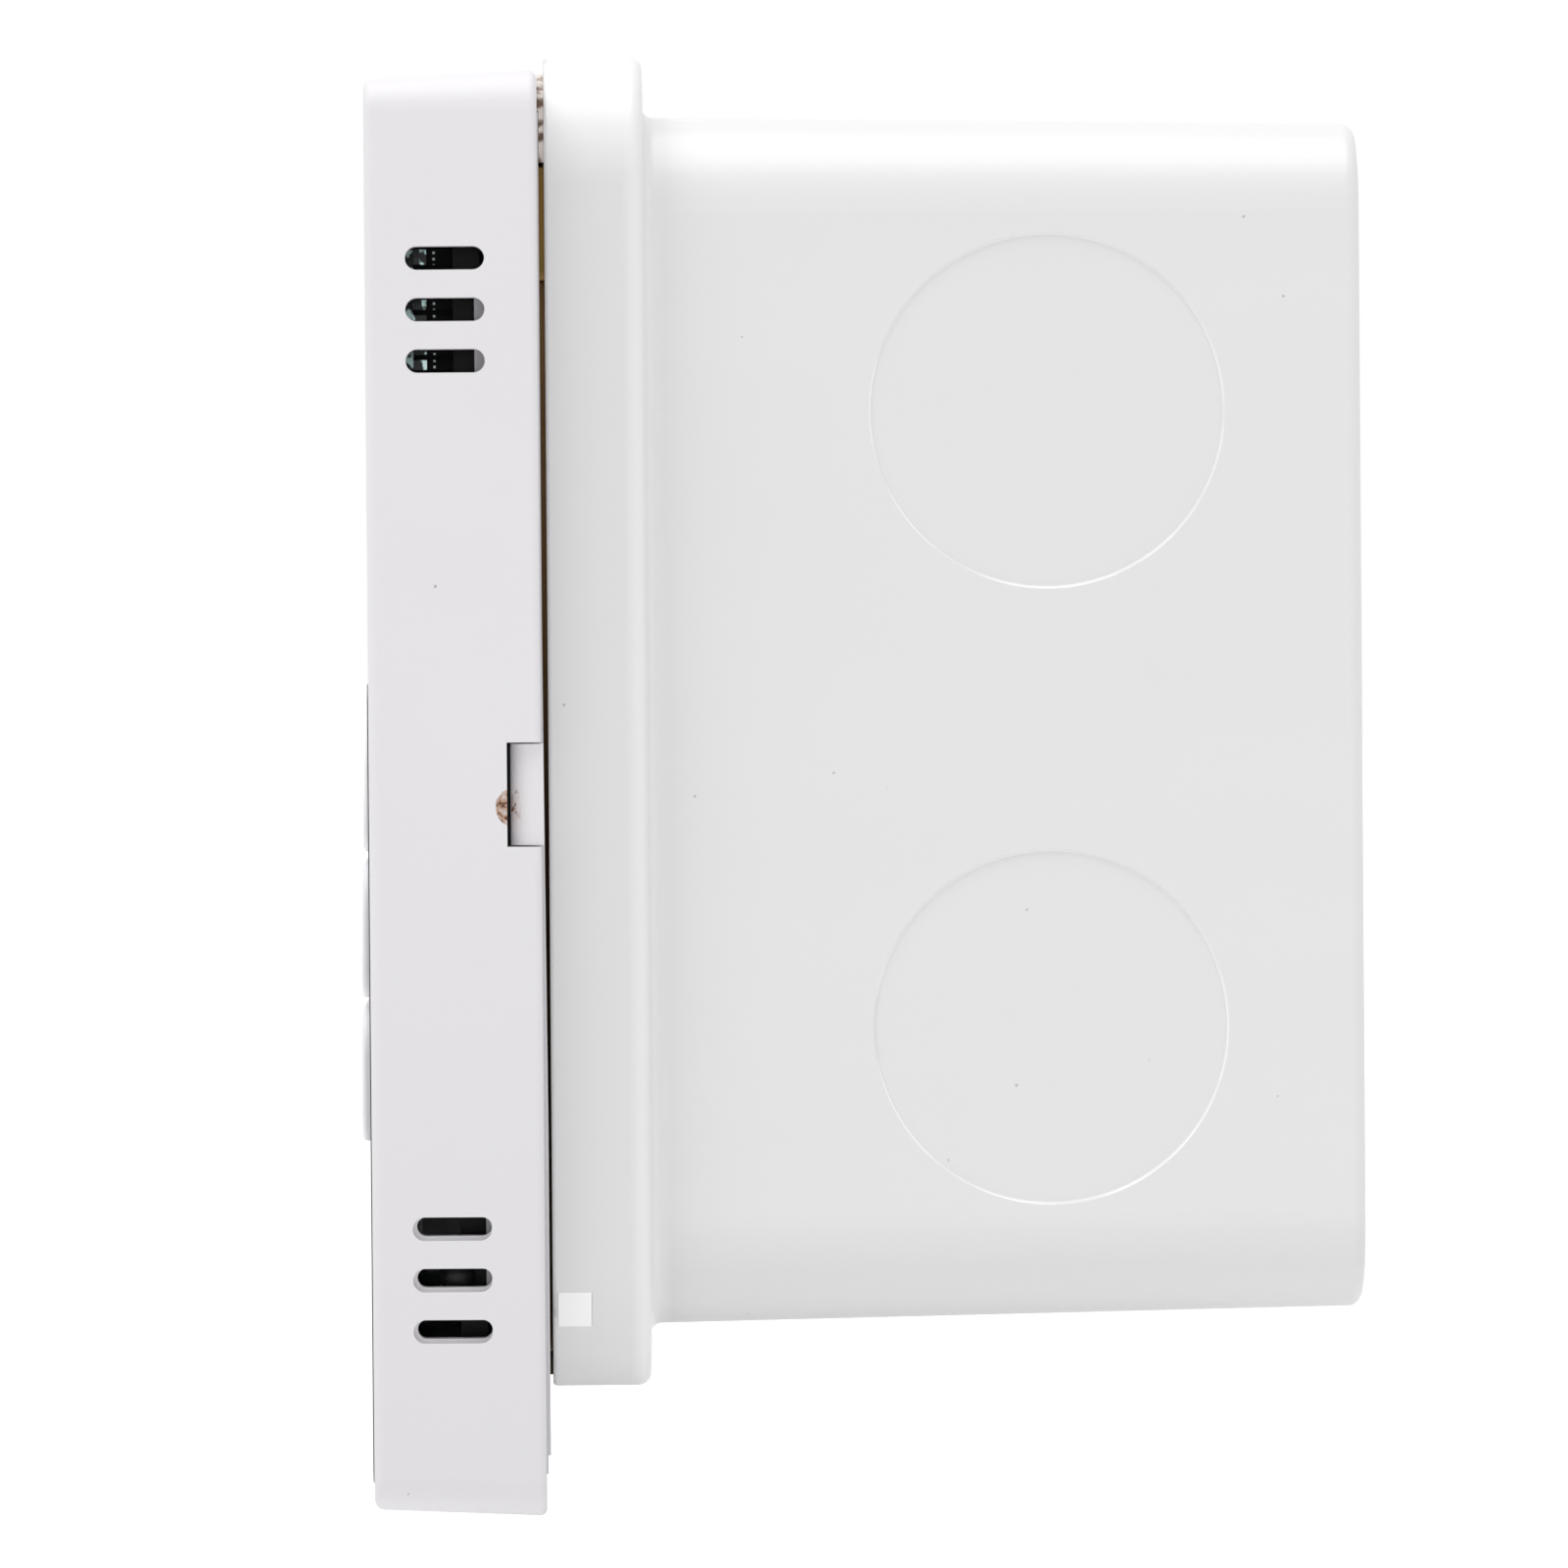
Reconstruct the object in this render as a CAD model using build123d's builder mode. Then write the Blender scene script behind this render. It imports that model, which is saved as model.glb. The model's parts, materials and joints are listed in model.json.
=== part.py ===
"""Wall thermostat with a pull-off front, on a flush wall box.

X runs to the right of someone facing it, Y runs into the wall and Z is up.
The origin is the centre of the wall box's back face. A level is a distance
from that face towards the room, so a larger level is nearer the room.
"""

import os
from math import cos, pi, radians, sin, tan

from build123d import *

os.makedirs("parts", exist_ok=True)

# Wall box
box_depth = 48.97  # back face to the front of the rim
rim_reach = 3.55  # rim beyond the body on each side
rim_depth = 5.92
rim_wall = 2.2
rim_floor = 1.9
rim_corner = 7.0
rim_back_radius = 0.8
rim_root_radius = 0.7  # where the rim meets the body
rim_front_radius = 0.25
body_draft = 0.9  # degrees on each side
body_wall = 1.9
body_corner = 6.0
back_wall = 2.0
back_radius = 0.8
knockout_radius = 10.7
knockout_spacing = 37.0
knockout_level = 18.9
knockout_sink = 0.18  # how far a knockout lies below the wall round it
knockout_slope = 45.0  # degrees, of the step round a knockout
knockout_web = 0.8  # thickness left at the break line
knockout_line = 0.8  # width of the break line
back_knockout_spacing = 34.0
fixing_spacing = 44.0  # holes in the back wall
fixing_radius = 2.25
link_size = 2.05  # square hole in the rim for a clip that links two boxes
link_edge = 0.3  # left between the hole and the rim's front
link_drop = 35.0  # below the box centre
link_seam = 0.02  # beside the plug in a hole
seal_inset = 0.4  # foam strip along the top of the rim, from the rim's outer edge

# Screws that hold the head to the box
screw_spacing = 60.3
screw_to_side = 6.3  # screw centre to the outside of the body
screw_radius = 1.95
screw_length = 20.0
screw_head_radius = 4.0
screw_head_height = 2.2
cross_recess = 0.8  # width of a driver recess
post_half = 4.4
post_length = 22.0
post_sink = 1.5  # below the front of the rim
nut_width = 7.0
nut_thickness = 2.8
nut_cover = 1.2  # post material in front of the nut
nut_bore_radius = 2.05

# Head as a whole
head_drop = 4.2  # the head hangs on the upper ends of its screw slots
cover_reach = 3.0  # cover beyond the rim on each side
cover_draft = 2.6  # degrees on each side
cover_wall = 2.0
cover_corner = 2.4
cover_front_radius = 0.6
cover_rear_radius = 0.4
front_wall = 2.0
plate_gap = 0.33  # between rim and back plate, where the frame shows
plate_proud = 0.1  # back plate behind the cover's rear edge

# Frame
frame_thickness = 1.0
frame_rest = 1.5  # how much of the rim's front the ears cover
frame_lower_rest = -0.8  # the same below the ears, where the frame stops short of the rim
frame_top_gap = 4.5  # inside the rim's opening
frame_low_gap = 0.1
ear_height = 7.0
foot_width = 50.0  # of the tongue at the frame's lower end
foot_inset = 0.1  # from the tongue's end to the rim's lower edge
frame_corner = 1.2
ear_corner = 0.3
frame_screw_inset = 4.0
frame_screw_z = 26.0
small_screw_radius = 1.2
small_head_radius = 2.2
small_head_height = 1.2

# Back plate
plate_thickness = 2.0
rib_wall = 1.6
rib_height = 1.88
rib_half_length = 30.5
rib_step = 0.28  # ribs lower beside the room sensor, to let air past
edge_top = 10.0  # above the head's centre, where the plate's side edges start to thicken
edge_full = 20.0  # below the head's centre, where they are thickest
catch_height = 0.25
catch_width = 0.6
catch_half_length = 6.0
notch_length = 6.2
notch_depth = 2.05
tab_sink = 0.5  # tab below the cover's side
tab_gap = 0.18  # in front of the tab
tab_side_gap = 0.1
tab_round = 1.5
pod_gap = 0.75  # to the screw posts
pod_height = 54.0
pod_wall = 1.6
pod_floor = 1.8
pod_corner = 3.0
screw_boss_radius = 2.4

# Vents in the cover's sides
vent_length = 4.7
vent_width = 1.4
vent_spacing = 3.05
vent_count = 3
vent_setback = 4.75  # slot middle behind the cover's front
vent_inset = 14.2  # middle slot from the cover's upper or lower edge
vent_lip = 0.25  # left inside a lower slot, at its front and lower sides
vent_lip_sink = 0.9
scoop_radius = 1.2  # pry scoop beside the notch
scoop_sink = 0.8
scoop_slope = 20.0  # degrees
scoop_inset = 0.5  # scoop middle inside the notch
scoop_drop = 0.75

# Front panel and display
panel_margin = 1.5
panel_bar = 1.8  # above the keys
panel_thickness = 1.0
panel_proud = 0.08
panel_corner = 1.4
window_ledge = 1.3
lcd_border_x = 3.0  # display edge hidden beside the window
lcd_border_z = 2.2
lcd_height = 25.6
lcd_thickness = 1.6
backlight_thickness = 1.6
lcd_margin = 4.6  # from the cover's inner sides
lcd_top_margin = 8.0  # from the cover's inner top
lcd_pin_count = 27
lcd_pin_spacing = 0.9
lcd_pin_width = 0.3

# Keys and switches
key_width = 20.0
key_strip_length = 25.6
key_middle_length = 8.3
key_split = 0.5
key_margin = 5.5  # from the cover's inner sides
key_lcd_gap = 2.4  # from the display down to the keys
key_height = 0.68  # above the cover's front, at the top of the crown
key_crown_radius = 620.0
key_crown_drop = 9.3  # top of the crown below the middle of the strip
key_corner = 3.0
key_edge_radius = 0.3
key_flange = 1.2
key_flange_thickness = 0.8
key_travel = 0.5
switch_width = 5.2
switch_height = 1.7
plunger_radius = 1.3

# Boards and what they carry
board_thickness = 1.6
main_board_gap = 0.6  # to the ribs on both sides
main_board_clear = 1.55  # to the back plate
relay_clear = 1.45  # to the main board
board_screw_inset = 2.8
board_screw_length = 4.4
pilot_radius = 0.85
board_screw_radius = 0.8
board_head_radius = 1.8
board_head_height = 1.2
standoff_height = 8.0
standoff_radius = 2.0
power_screw_inset_x = 2.5
power_screw_inset_z = 2.5
power_screw_length = 5.0
chip_width = 10.0
chip_thickness = 1.2
chip_x = -12.0
chip_z = -4.0
lead_reach = 1.0
lead_width = 0.5
lead_spacing = 1.27
lead_count = 7
crystal_length = 10.0
crystal_width = 3.6
crystal_height = 1.8
crystal_z = -14.5
bead_radius = 1.1
bead_lead_radius = 0.25
bead_lead_length = 6.0
bead_lead_spread = 1.1
header_pins = 6
header_spacing = 2.54
header_base = 2.5
header_pin_width = 0.64
header_pin_length = 8.4
socket_height = 11.0
socket_hole = 1.0
socket_inset = 2.7  # from the power board's right edge
socket_z = -4.5
relay_size = (29.0, 12.7, 15.7)
relay_inset = 1.0  # from the board's right edge
relay_z = 13.3
transformer_size = (22.0, 20.0, 15.0)
transformer_inset = 1.5  # from the board's left edge
transformer_z = -4.0
film_size = (13.0, 6.0, 11.0)
film_inset = 6.0  # from the board's right edge
large_can = (5.0, 13.0)  # radius, height
large_can_gap = 1.0  # from the transformer
large_can_z = -2.0
small_can = (4.0, 12.0)
small_can_inset = 0.8  # from the board's left edge
small_can_z = 14.5
varistor_radius = 4.5
varistor_thickness = 3.6
fuse_size = (8.5, 4.0, 8.0)
fuse_inset = 6.0  # from the board's left edge
lower_row_z = -19.3  # fuse, varistor and film capacitor
part_edge = 0.6  # rounding on moulded components

# Terminals
terminal_ways = 6
terminal_spacing = 5.0
terminal_depth = 10.0
terminal_end = 0.4
clamp_width = 4.0
clamp_height = 4.4
clamp_wall = 0.6
clamp_length = 5.0
clamp_cover = 3.4  # block material between the clamp and the rear face
entry_length = 6.5
terminal_head_radius = 1.8
terminal_head_height = 1.4
terminal_shank_radius = 1.2
slot_depth = 0.7

# Clearances
fit = 0.2  # between pieces that only lie side by side
slide_fit = 0.3  # between the cover and the back plate
catch_fit = 0.08
seal_fit = 0.03  # in front of the foam strip
edge_fit = 0.18  # between the rim and the plate's thick edges
key_fit = 0.2
thread_fit = 0.35
plunger_fit = 0.12
key_rest = 0.05  # key flange below the cover's front wall

# Levels and half sizes that follow from the values above
body_size = screw_spacing + 2 * screw_to_side
rim_size = body_size + 2 * rim_reach
cover_size = rim_size + 2 * cover_reach
rim_level = box_depth - rim_depth
cavity_level = rim_level + rim_floor
rim_inner = rim_size - 2 * rim_wall
frame_front = box_depth + frame_thickness
plate_rear = box_depth + plate_gap
plate_front = plate_rear + plate_thickness
cover_rear = plate_rear + plate_proud
main_rear = plate_front + main_board_clear
main_front = main_rear + board_thickness
lcd_rear = main_front + backlight_thickness
inner_front = lcd_rear + lcd_thickness
cover_front = inner_front + front_wall
cover_depth = cover_front - cover_rear
panel_front = cover_front + panel_proud
panel_rear = panel_front - panel_thickness
power_front = main_rear - relay_clear - relay_size[2]
power_rear = power_front - board_thickness
pod_inside = power_rear - standoff_height
pod_rear = pod_inside - pod_floor
pod_depth = plate_rear - pod_rear
pod_width = screw_spacing - 2 * post_half - 2 * pod_gap
screw_half = screw_spacing / 2
post_top = box_depth - post_sink
post_bottom = post_top - post_length
nut_front = post_top - nut_cover
nut_rear = nut_front - nut_thickness
rib_front = plate_front + rib_height
lean = tan(radians(cover_draft))
side_lean = tan(radians(body_draft))
cover_rear_inner = cover_size / 2 - cover_wall
cover_front_half = cover_size / 2 - cover_depth * lean
cover_front_inner = cover_rear_inner - (inner_front - cover_rear) * lean
plate_half = cover_rear_inner - plate_thickness * lean - slide_fit
catch_wall = cover_rear_inner - (rib_front - cover_rear) * lean
rib_outer = catch_wall - 2 * catch_height - catch_fit
rib_inner = rib_outer - rib_wall
main_half = rib_inner - main_board_gap
board_screw_at = main_half - board_screw_inset
panel_half = cover_front_half - panel_margin
key_x = cover_front_inner - key_margin - key_width / 2
lcd_right = cover_front_inner - lcd_margin
lcd_width = 2 * lcd_right
lcd_centre_z = cover_front_inner - lcd_top_margin - lcd_height / 2
key_strip_z = lcd_centre_z - lcd_height / 2 - key_lcd_gap - key_strip_length / 2
panel_top = key_strip_z + key_strip_length / 2 + key_fit + panel_bar
panel_height = panel_half + panel_top
panel_z = (panel_top - panel_half) / 2
window_width = lcd_width - 2 * lcd_border_x
window_height = lcd_height - 2 * lcd_border_z
lens_width = window_width + 2 * window_ledge
lens_height = window_height + 2 * window_ledge
vent_height = cover_size / 2 - vent_inset
bead_z = -vent_height
frame_above = rim_inner / 2 + head_drop - frame_top_gap
frame_below = rim_inner / 2 - head_drop - frame_low_gap
foot_height = rim_wall + frame_low_gap - foot_inset
seal_top = cover_size / 2 - head_drop
seal_bottom = frame_above - head_drop + fit / 2
seal_length = seal_top - seal_bottom
seal_thickness = plate_gap - seal_fit
seal_swell_bottom = plate_half - head_drop + fit / 2
edge_rear = box_depth + edge_fit
frame_screw_x = rim_inner / 2 + frame_lower_rest - frame_screw_inset
key_top = cover_front + key_height
key_flange_front = inner_front - key_rest
key_flange_rear = key_flange_front - key_flange_thickness
switch_top = main_front + switch_height
key_end_length = (key_strip_length - key_middle_length) / 2 - key_split
key_step = (key_middle_length + key_end_length) / 2 + key_split
power_width = pod_width - 2 * pod_wall - 2 * fit
power_height = pod_height - 2 * pod_wall - 2 * fit
board_right = power_width / 2
relay_at = (board_right - relay_inset - relay_size[0] / 2, relay_z)
transformer_right = transformer_inset + transformer_size[0] - board_right
transformer_at = (transformer_right - transformer_size[0] / 2, transformer_z)
large_can_at = (transformer_right + large_can_gap + large_can[0], large_can_z)
small_can_at = (small_can_inset + small_can[0] - board_right, small_can_z)
film_left = board_right - film_inset - film_size[0]
film_at = (film_left + film_size[0] / 2, lower_row_z)
fuse_right = fuse_inset + fuse_size[0] - board_right
fuse_at = (fuse_right - fuse_size[0] / 2, lower_row_z)
varistor_at = ((fuse_right + film_left) / 2, lower_row_z)
socket_x = board_right - socket_inset
power_screw_x = power_width / 2 - power_screw_inset_x
power_screw_z = power_height / 2 - power_screw_inset_z
slot_overall = 2 * (head_drop + screw_radius + thread_fit)
slot_width = 2 * (screw_radius + thread_fit)
terminal_length = terminal_ways * terminal_spacing + 2 * terminal_end
terminal_height = standoff_height + pod_floor
terminal_z = -(pod_height / 2 - pod_wall - fit) + terminal_depth / 2
terminal_bottom = terminal_z - terminal_depth / 2
clamp_rear = pod_rear + clamp_cover
clamp_level = clamp_rear + clamp_height / 2


def wall_plane(level):
    """Sketch plane at a level, centred on the wall box and facing the room."""
    return Plane(origin=(0, -level, 0), x_dir=(1, 0, 0), z_dir=(0, -1, 0))


def sunk_plane(level):
    """Sketch plane at a level, centred on the wall box and facing the wall."""
    return Plane(origin=(0, -level, 0), x_dir=(1, 0, 0), z_dir=(0, 1, 0))


def head_plane(level):
    """Sketch plane at a level, centred on the head and facing the room."""
    return Plane(origin=(0, -level, -head_drop), x_dir=(1, 0, 0), z_dir=(0, -1, 0))


def side_plane(x):
    """Sketch plane across X, with level along its x axis and height above the head's centre along y."""
    return Plane(origin=(x, 0, -head_drop), x_dir=(0, -1, 0), z_dir=(-1, 0, 0))


def knockout_plane(angle):
    """Plane on one drafted side of the wall box, level with its knockouts."""
    half = body_size / 2 - (rim_level - knockout_level) * side_lean
    out = Vector(cos(angle), 0, sin(angle))
    along = Vector(-sin(angle), 0, cos(angle))
    facing = out + Vector(0, side_lean, 0)
    return Plane(origin=out * half - Vector(0, knockout_level, 0), x_dir=along, z_dir=facing)


def save(piece, name):
    """Names a finished piece and writes it."""
    piece.part.label = name
    export_step(piece.part, f"parts/{name}.step")


# Wall box: drafted body and rim, hollowed from the front
with BuildPart() as wall_box:
    with BuildSketch(sunk_plane(rim_level)):
        RectangleRounded(body_size, body_size, body_corner)
    extrude(amount=rim_level, taper=body_draft)
    fillet(wall_box.edges().group_by(Axis.Y)[-1], back_radius)
    with BuildSketch(wall_plane(rim_level)):
        RectangleRounded(rim_size, rim_size, rim_corner)
    extrude(amount=rim_depth)
    rim_back = wall_box.faces().filter_by(Axis.Y).sort_by(Axis.Y)[1]
    fillet(rim_back.inner_wires()[0].edges(), rim_root_radius)
    rim_back = wall_box.faces().filter_by(Axis.Y).sort_by(Axis.Y)[1]
    fillet(rim_back.outer_wire().edges(), rim_back_radius)
    fillet(wall_box.edges().group_by(Axis.Y)[0], rim_front_radius)
    with BuildSketch(sunk_plane(cavity_level)):
        RectangleRounded(body_size - 2 * body_wall, body_size - 2 * body_wall, body_corner - body_wall)
    extrude(amount=cavity_level - back_wall, taper=body_draft, mode=Mode.SUBTRACT)
    with BuildSketch(wall_plane(cavity_level)):
        RectangleRounded(rim_inner, rim_inner, rim_corner - rim_wall)
    extrude(amount=rim_depth, mode=Mode.SUBTRACT)
    # Posts for the two screws, joined to the side walls
    post_outer = body_size / 2 - body_wall / 2
    post_width = post_outer - screw_half + post_half
    with BuildSketch(wall_plane(post_bottom)):
        with GridLocations(2 * post_outer - post_width, 0, 2, 1):
            Rectangle(post_width, 2 * post_half)
    extrude(amount=post_length)
    with Locations(wall_plane(post_top)):
        with GridLocations(screw_spacing, 0, 2, 1):
            Hole(screw_radius + thread_fit, depth=post_length)
    with BuildSketch(wall_plane(nut_rear - fit / 2)):
        with GridLocations(screw_spacing - post_half, 0, 2, 1):
            Rectangle(nut_width + fit + post_half, nut_width + fit)
    extrude(amount=nut_thickness + fit, mode=Mode.SUBTRACT)
    # Knockouts: two on each side, one on the back, and beside it one that is broken out for the cables
    for side in range(4):
        face = knockout_plane(side * pi / 2)
        with BuildSketch(face):
            with GridLocations(knockout_spacing, 0, 2, 1):
                Circle(knockout_radius)
        extrude(amount=-knockout_sink, taper=knockout_slope, mode=Mode.SUBTRACT)
        with BuildSketch(face.offset(-knockout_sink - knockout_web)):
            with GridLocations(knockout_spacing, 0, 2, 1):
                Circle(knockout_radius)
                Circle(knockout_radius - knockout_line, mode=Mode.SUBTRACT)
        extrude(amount=-body_wall, mode=Mode.SUBTRACT)
    with BuildSketch(wall_plane(0)):
        with Locations((back_knockout_spacing / 2, 0)):
            Circle(knockout_radius)
    extrude(amount=knockout_sink, taper=knockout_slope, mode=Mode.SUBTRACT)
    with BuildSketch(wall_plane(knockout_sink + knockout_web)):
        with Locations((back_knockout_spacing / 2, 0)):
            Circle(knockout_radius)
            Circle(knockout_radius - knockout_line, mode=Mode.SUBTRACT)
    extrude(amount=back_wall, mode=Mode.SUBTRACT)
    with BuildSketch(wall_plane(0)):
        with Locations((-back_knockout_spacing / 2, 0)):
            Circle(knockout_radius)
    extrude(amount=back_wall, mode=Mode.SUBTRACT)
    with Locations(wall_plane(back_wall)):
        with GridLocations(0, fixing_spacing, 1, 2):
            Hole(fixing_radius, depth=back_wall)
    # Square holes low in both sides of the rim
    with BuildSketch(wall_plane(box_depth - link_edge - link_size)):
        with Locations((0, -link_drop)):
            Rectangle(2 * rim_size, link_size)
    extrude(amount=link_size, mode=Mode.SUBTRACT)
save(wall_box, "wall_box")

# Soft plugs that close the square holes, shaped to the rim's corner
with BuildPart() as link_plugs:
    with BuildSketch(wall_plane(box_depth - link_edge - link_size + link_seam)):
        RectangleRounded(rim_size, rim_size, rim_corner)
        with Locations((0, -link_drop)):
            Rectangle(rim_size, link_size, mode=Mode.INTERSECT)
        Rectangle(rim_inner, rim_size, mode=Mode.SUBTRACT)
    extrude(amount=link_size - 2 * link_seam)
save(link_plugs, "link_plugs")

# Foam strip on the rim's front, along its top and a little way down both sides. It swells
# above the back plate, where only the cover is in front of it
with BuildPart() as seal_strip:
    with BuildSketch(wall_plane(box_depth)):
        RectangleRounded(rim_size - 2 * seal_inset, rim_size - 2 * seal_inset, rim_corner - seal_inset)
        RectangleRounded(rim_inner, rim_inner, rim_corner - rim_wall, mode=Mode.SUBTRACT)
        with Locations((0, seal_top - seal_length / 2)):
            Rectangle(rim_size, seal_length, mode=Mode.INTERSECT)
    extrude(amount=seal_thickness)
    strip_front = seal_strip.faces().sort_by(Axis.Y)[0]
    with BuildSketch(wall_plane(box_depth + seal_thickness)):
        add(strip_front)
        with Locations((0, seal_top)):
            Rectangle(rim_size, 2 * (seal_top - seal_swell_bottom), mode=Mode.INTERSECT)
    extrude(amount=plate_proud)
save(seal_strip, "seal_strip")

# Square nuts in the posts
with BuildPart() as box_nuts:
    with BuildSketch(wall_plane(nut_rear)):
        with GridLocations(screw_spacing, 0, 2, 1):
            Rectangle(nut_width, nut_width)
            Circle(nut_bore_radius, mode=Mode.SUBTRACT)
    extrude(amount=nut_thickness)
save(box_nuts, "box_nuts")

# Pan-head screws through the frame's slots into the nuts
with BuildPart() as mounting_screws:
    with BuildSketch(wall_plane(frame_front)):
        with GridLocations(screw_spacing, 0, 2, 1):
            Circle(screw_head_radius)
    extrude(amount=screw_head_height)
    fillet(mounting_screws.edges().group_by(Axis.Y)[0], screw_head_height / 2)
    with BuildSketch(wall_plane(frame_front)):
        with GridLocations(screw_spacing, 0, 2, 1):
            Circle(screw_radius)
    extrude(amount=-screw_length)
    with BuildSketch(wall_plane(frame_front + screw_head_height)):
        with GridLocations(screw_spacing, 0, 2, 1):
            Rectangle(screw_head_radius, cross_recess)
            Rectangle(cross_recess, screw_head_radius)
    extrude(amount=-screw_head_height / 2, mode=Mode.SUBTRACT)
save(mounting_screws, "mounting_screws")

# Steel frame: wide ears at the top, a tongue below, a window for the pod, slots for the screws
frame_centre = (frame_above - frame_below) / 2
frame_height = frame_above + frame_below
frame_wide = rim_inner + 2 * frame_rest
frame_narrow = rim_inner + 2 * frame_lower_rest
with BuildPart() as mount_frame:
    with BuildSketch(head_plane(box_depth)):
        with Locations((0, frame_centre)):
            RectangleRounded(frame_narrow, frame_height, frame_corner)
        with Locations((0, frame_above - ear_height / 2)):
            RectangleRounded(frame_wide, ear_height, ear_corner)
        with Locations((0, -frame_below)):
            Rectangle(foot_width, 2 * foot_height)
        RectangleRounded(pod_width + 4 * fit, pod_height + 4 * fit, pod_corner, mode=Mode.SUBTRACT)
        with GridLocations(screw_spacing, 0, 2, 1):
            SlotOverall(slot_overall, slot_width, rotation=90, mode=Mode.SUBTRACT)
        with GridLocations(2 * frame_screw_x, 2 * frame_screw_z, 2, 2):
            Circle(small_screw_radius + fit, mode=Mode.SUBTRACT)
    extrude(amount=frame_thickness)
save(mount_frame, "mount_frame")

# Screws that hold the frame to the back plate, driven from the wall side
frame_screw_end = plate_front + small_head_height / 2
with BuildPart() as frame_screws:
    with BuildSketch(head_plane(box_depth)):
        with GridLocations(2 * frame_screw_x, 2 * frame_screw_z, 2, 2):
            Circle(small_screw_radius)
    extrude(amount=frame_screw_end - box_depth)
    with BuildSketch(head_plane(box_depth)):
        with GridLocations(2 * frame_screw_x, 2 * frame_screw_z, 2, 2):
            Circle(small_head_radius)
    extrude(amount=-small_head_height)
    fillet(frame_screws.edges().group_by(Axis.Y)[-1], small_head_height / 3)
    with BuildSketch(head_plane(box_depth - small_head_height)):
        with GridLocations(2 * frame_screw_x, 2 * frame_screw_z, 2, 2):
            Rectangle(small_head_radius, cross_recess)
            Rectangle(cross_recess, small_head_radius)
    extrude(amount=small_head_height / 2, mode=Mode.SUBTRACT)
save(frame_screws, "frame_screws")

# Back plate with its pod, side ribs and latch tabs
with BuildPart() as back_plate:
    with BuildSketch(head_plane(plate_rear)):
        RectangleRounded(2 * plate_half, 2 * plate_half, cover_corner / 2)
    extrude(amount=plate_thickness)
    with BuildSketch(head_plane(pod_rear)):
        RectangleRounded(pod_width, pod_height, pod_corner)
    extrude(amount=pod_depth + plate_thickness)
    fillet(back_plate.edges().group_by(Axis.Y)[-1], part_edge)
    with BuildSketch(head_plane(pod_inside)):
        RectangleRounded(pod_width - 2 * pod_wall, pod_height - 2 * pod_wall, pod_corner - pod_wall)
    extrude(amount=pod_depth + plate_thickness, mode=Mode.SUBTRACT)
    # Side ribs, each with a catch for the cover
    rib_middle = (rib_outer + rib_inner) / 2
    with BuildSketch(head_plane(plate_front)):
        with GridLocations(2 * rib_middle, 0, 2, 1):
            Rectangle(rib_wall, 2 * rib_half_length)
    extrude(amount=rib_front - plate_front)
    with BuildSketch(head_plane(rib_front - catch_width)):
        with GridLocations(2 * rib_outer, 0, 2, 1):
            Rectangle(2 * catch_height, 2 * catch_half_length)
    extrude(amount=catch_width)
    rib_low_length = rib_half_length - vent_height + 1.5 * vent_spacing
    with BuildSketch(head_plane(rib_front - rib_step)):
        with Locations((0, rib_low_length / 2 - rib_half_length)):
            Rectangle(cover_size, rib_low_length)
    extrude(amount=rib_step, mode=Mode.SUBTRACT)
    # Latch tabs that stand in the cover's notches
    tab_outer = cover_size / 2 - tab_sink
    tab_width = tab_outer - plate_half + rib_wall
    with BuildSketch(head_plane(plate_rear)):
        with GridLocations(2 * tab_outer - tab_width, 0, 2, 1):
            Rectangle(tab_width, notch_length - 2 * tab_side_gap)
    extrude(amount=plate_proud + notch_depth - tab_gap)
    upright_edges = back_plate.edges().filter_by(Axis.Z).group_by(Axis.X)
    tab_fronts = [upright_edges[0].sort_by(Axis.Y)[0], upright_edges[-1].sort_by(Axis.Y)[0]]
    fillet(tab_fronts, tab_round)
    # Side edges that thicken downwards, so that the head stands plumb with the foam strip above it
    edge_bottom = cover_corner / 2 - plate_half
    for side in (plate_half, -rim_inner / 2):
        with BuildSketch(side_plane(side)):
            with BuildLine():
                Polyline(
                    (plate_front, edge_top),
                    (plate_rear, edge_top),
                    (edge_rear, -edge_full),
                    (edge_rear, edge_bottom),
                    (plate_front, edge_bottom),
                    close=True,
                )
            make_face()
        extrude(amount=plate_half - rim_inner / 2)
    # Recess for the frame, openings for the screw heads
    with BuildSketch(head_plane(plate_rear)):
        with Locations((0, frame_centre)):
            Rectangle(frame_narrow + 2 * fit, frame_height + 2 * fit)
        with Locations((0, frame_above - ear_height / 2)):
            Rectangle(frame_wide + 2 * fit, ear_height + 2 * fit)
        with Locations((0, -frame_below)):
            Rectangle(foot_width + 2 * fit, 2 * (foot_height + fit))
        RectangleRounded(pod_width, pod_height, pod_corner, mode=Mode.SUBTRACT)
    extrude(amount=frame_thickness - plate_gap, mode=Mode.SUBTRACT)
    with BuildSketch(head_plane(plate_rear)):
        with GridLocations(screw_spacing, 0, 2, 1):
            SlotOverall(
                slot_overall - slot_width + 2 * (screw_head_radius + fit),
                2 * (screw_head_radius + fit),
                rotation=90,
            )
    extrude(amount=plate_thickness, mode=Mode.SUBTRACT)
    # Bosses for the frame's screws
    with BuildSketch(head_plane(plate_front)):
        with GridLocations(2 * frame_screw_x, 2 * frame_screw_z, 2, 2):
            Circle(screw_boss_radius)
    extrude(amount=small_head_height)
    with BuildSketch(head_plane(plate_rear)):
        with GridLocations(2 * frame_screw_x, 2 * frame_screw_z, 2, 2):
            Circle(small_screw_radius)
    extrude(amount=frame_screw_end - plate_rear, mode=Mode.SUBTRACT)
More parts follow.
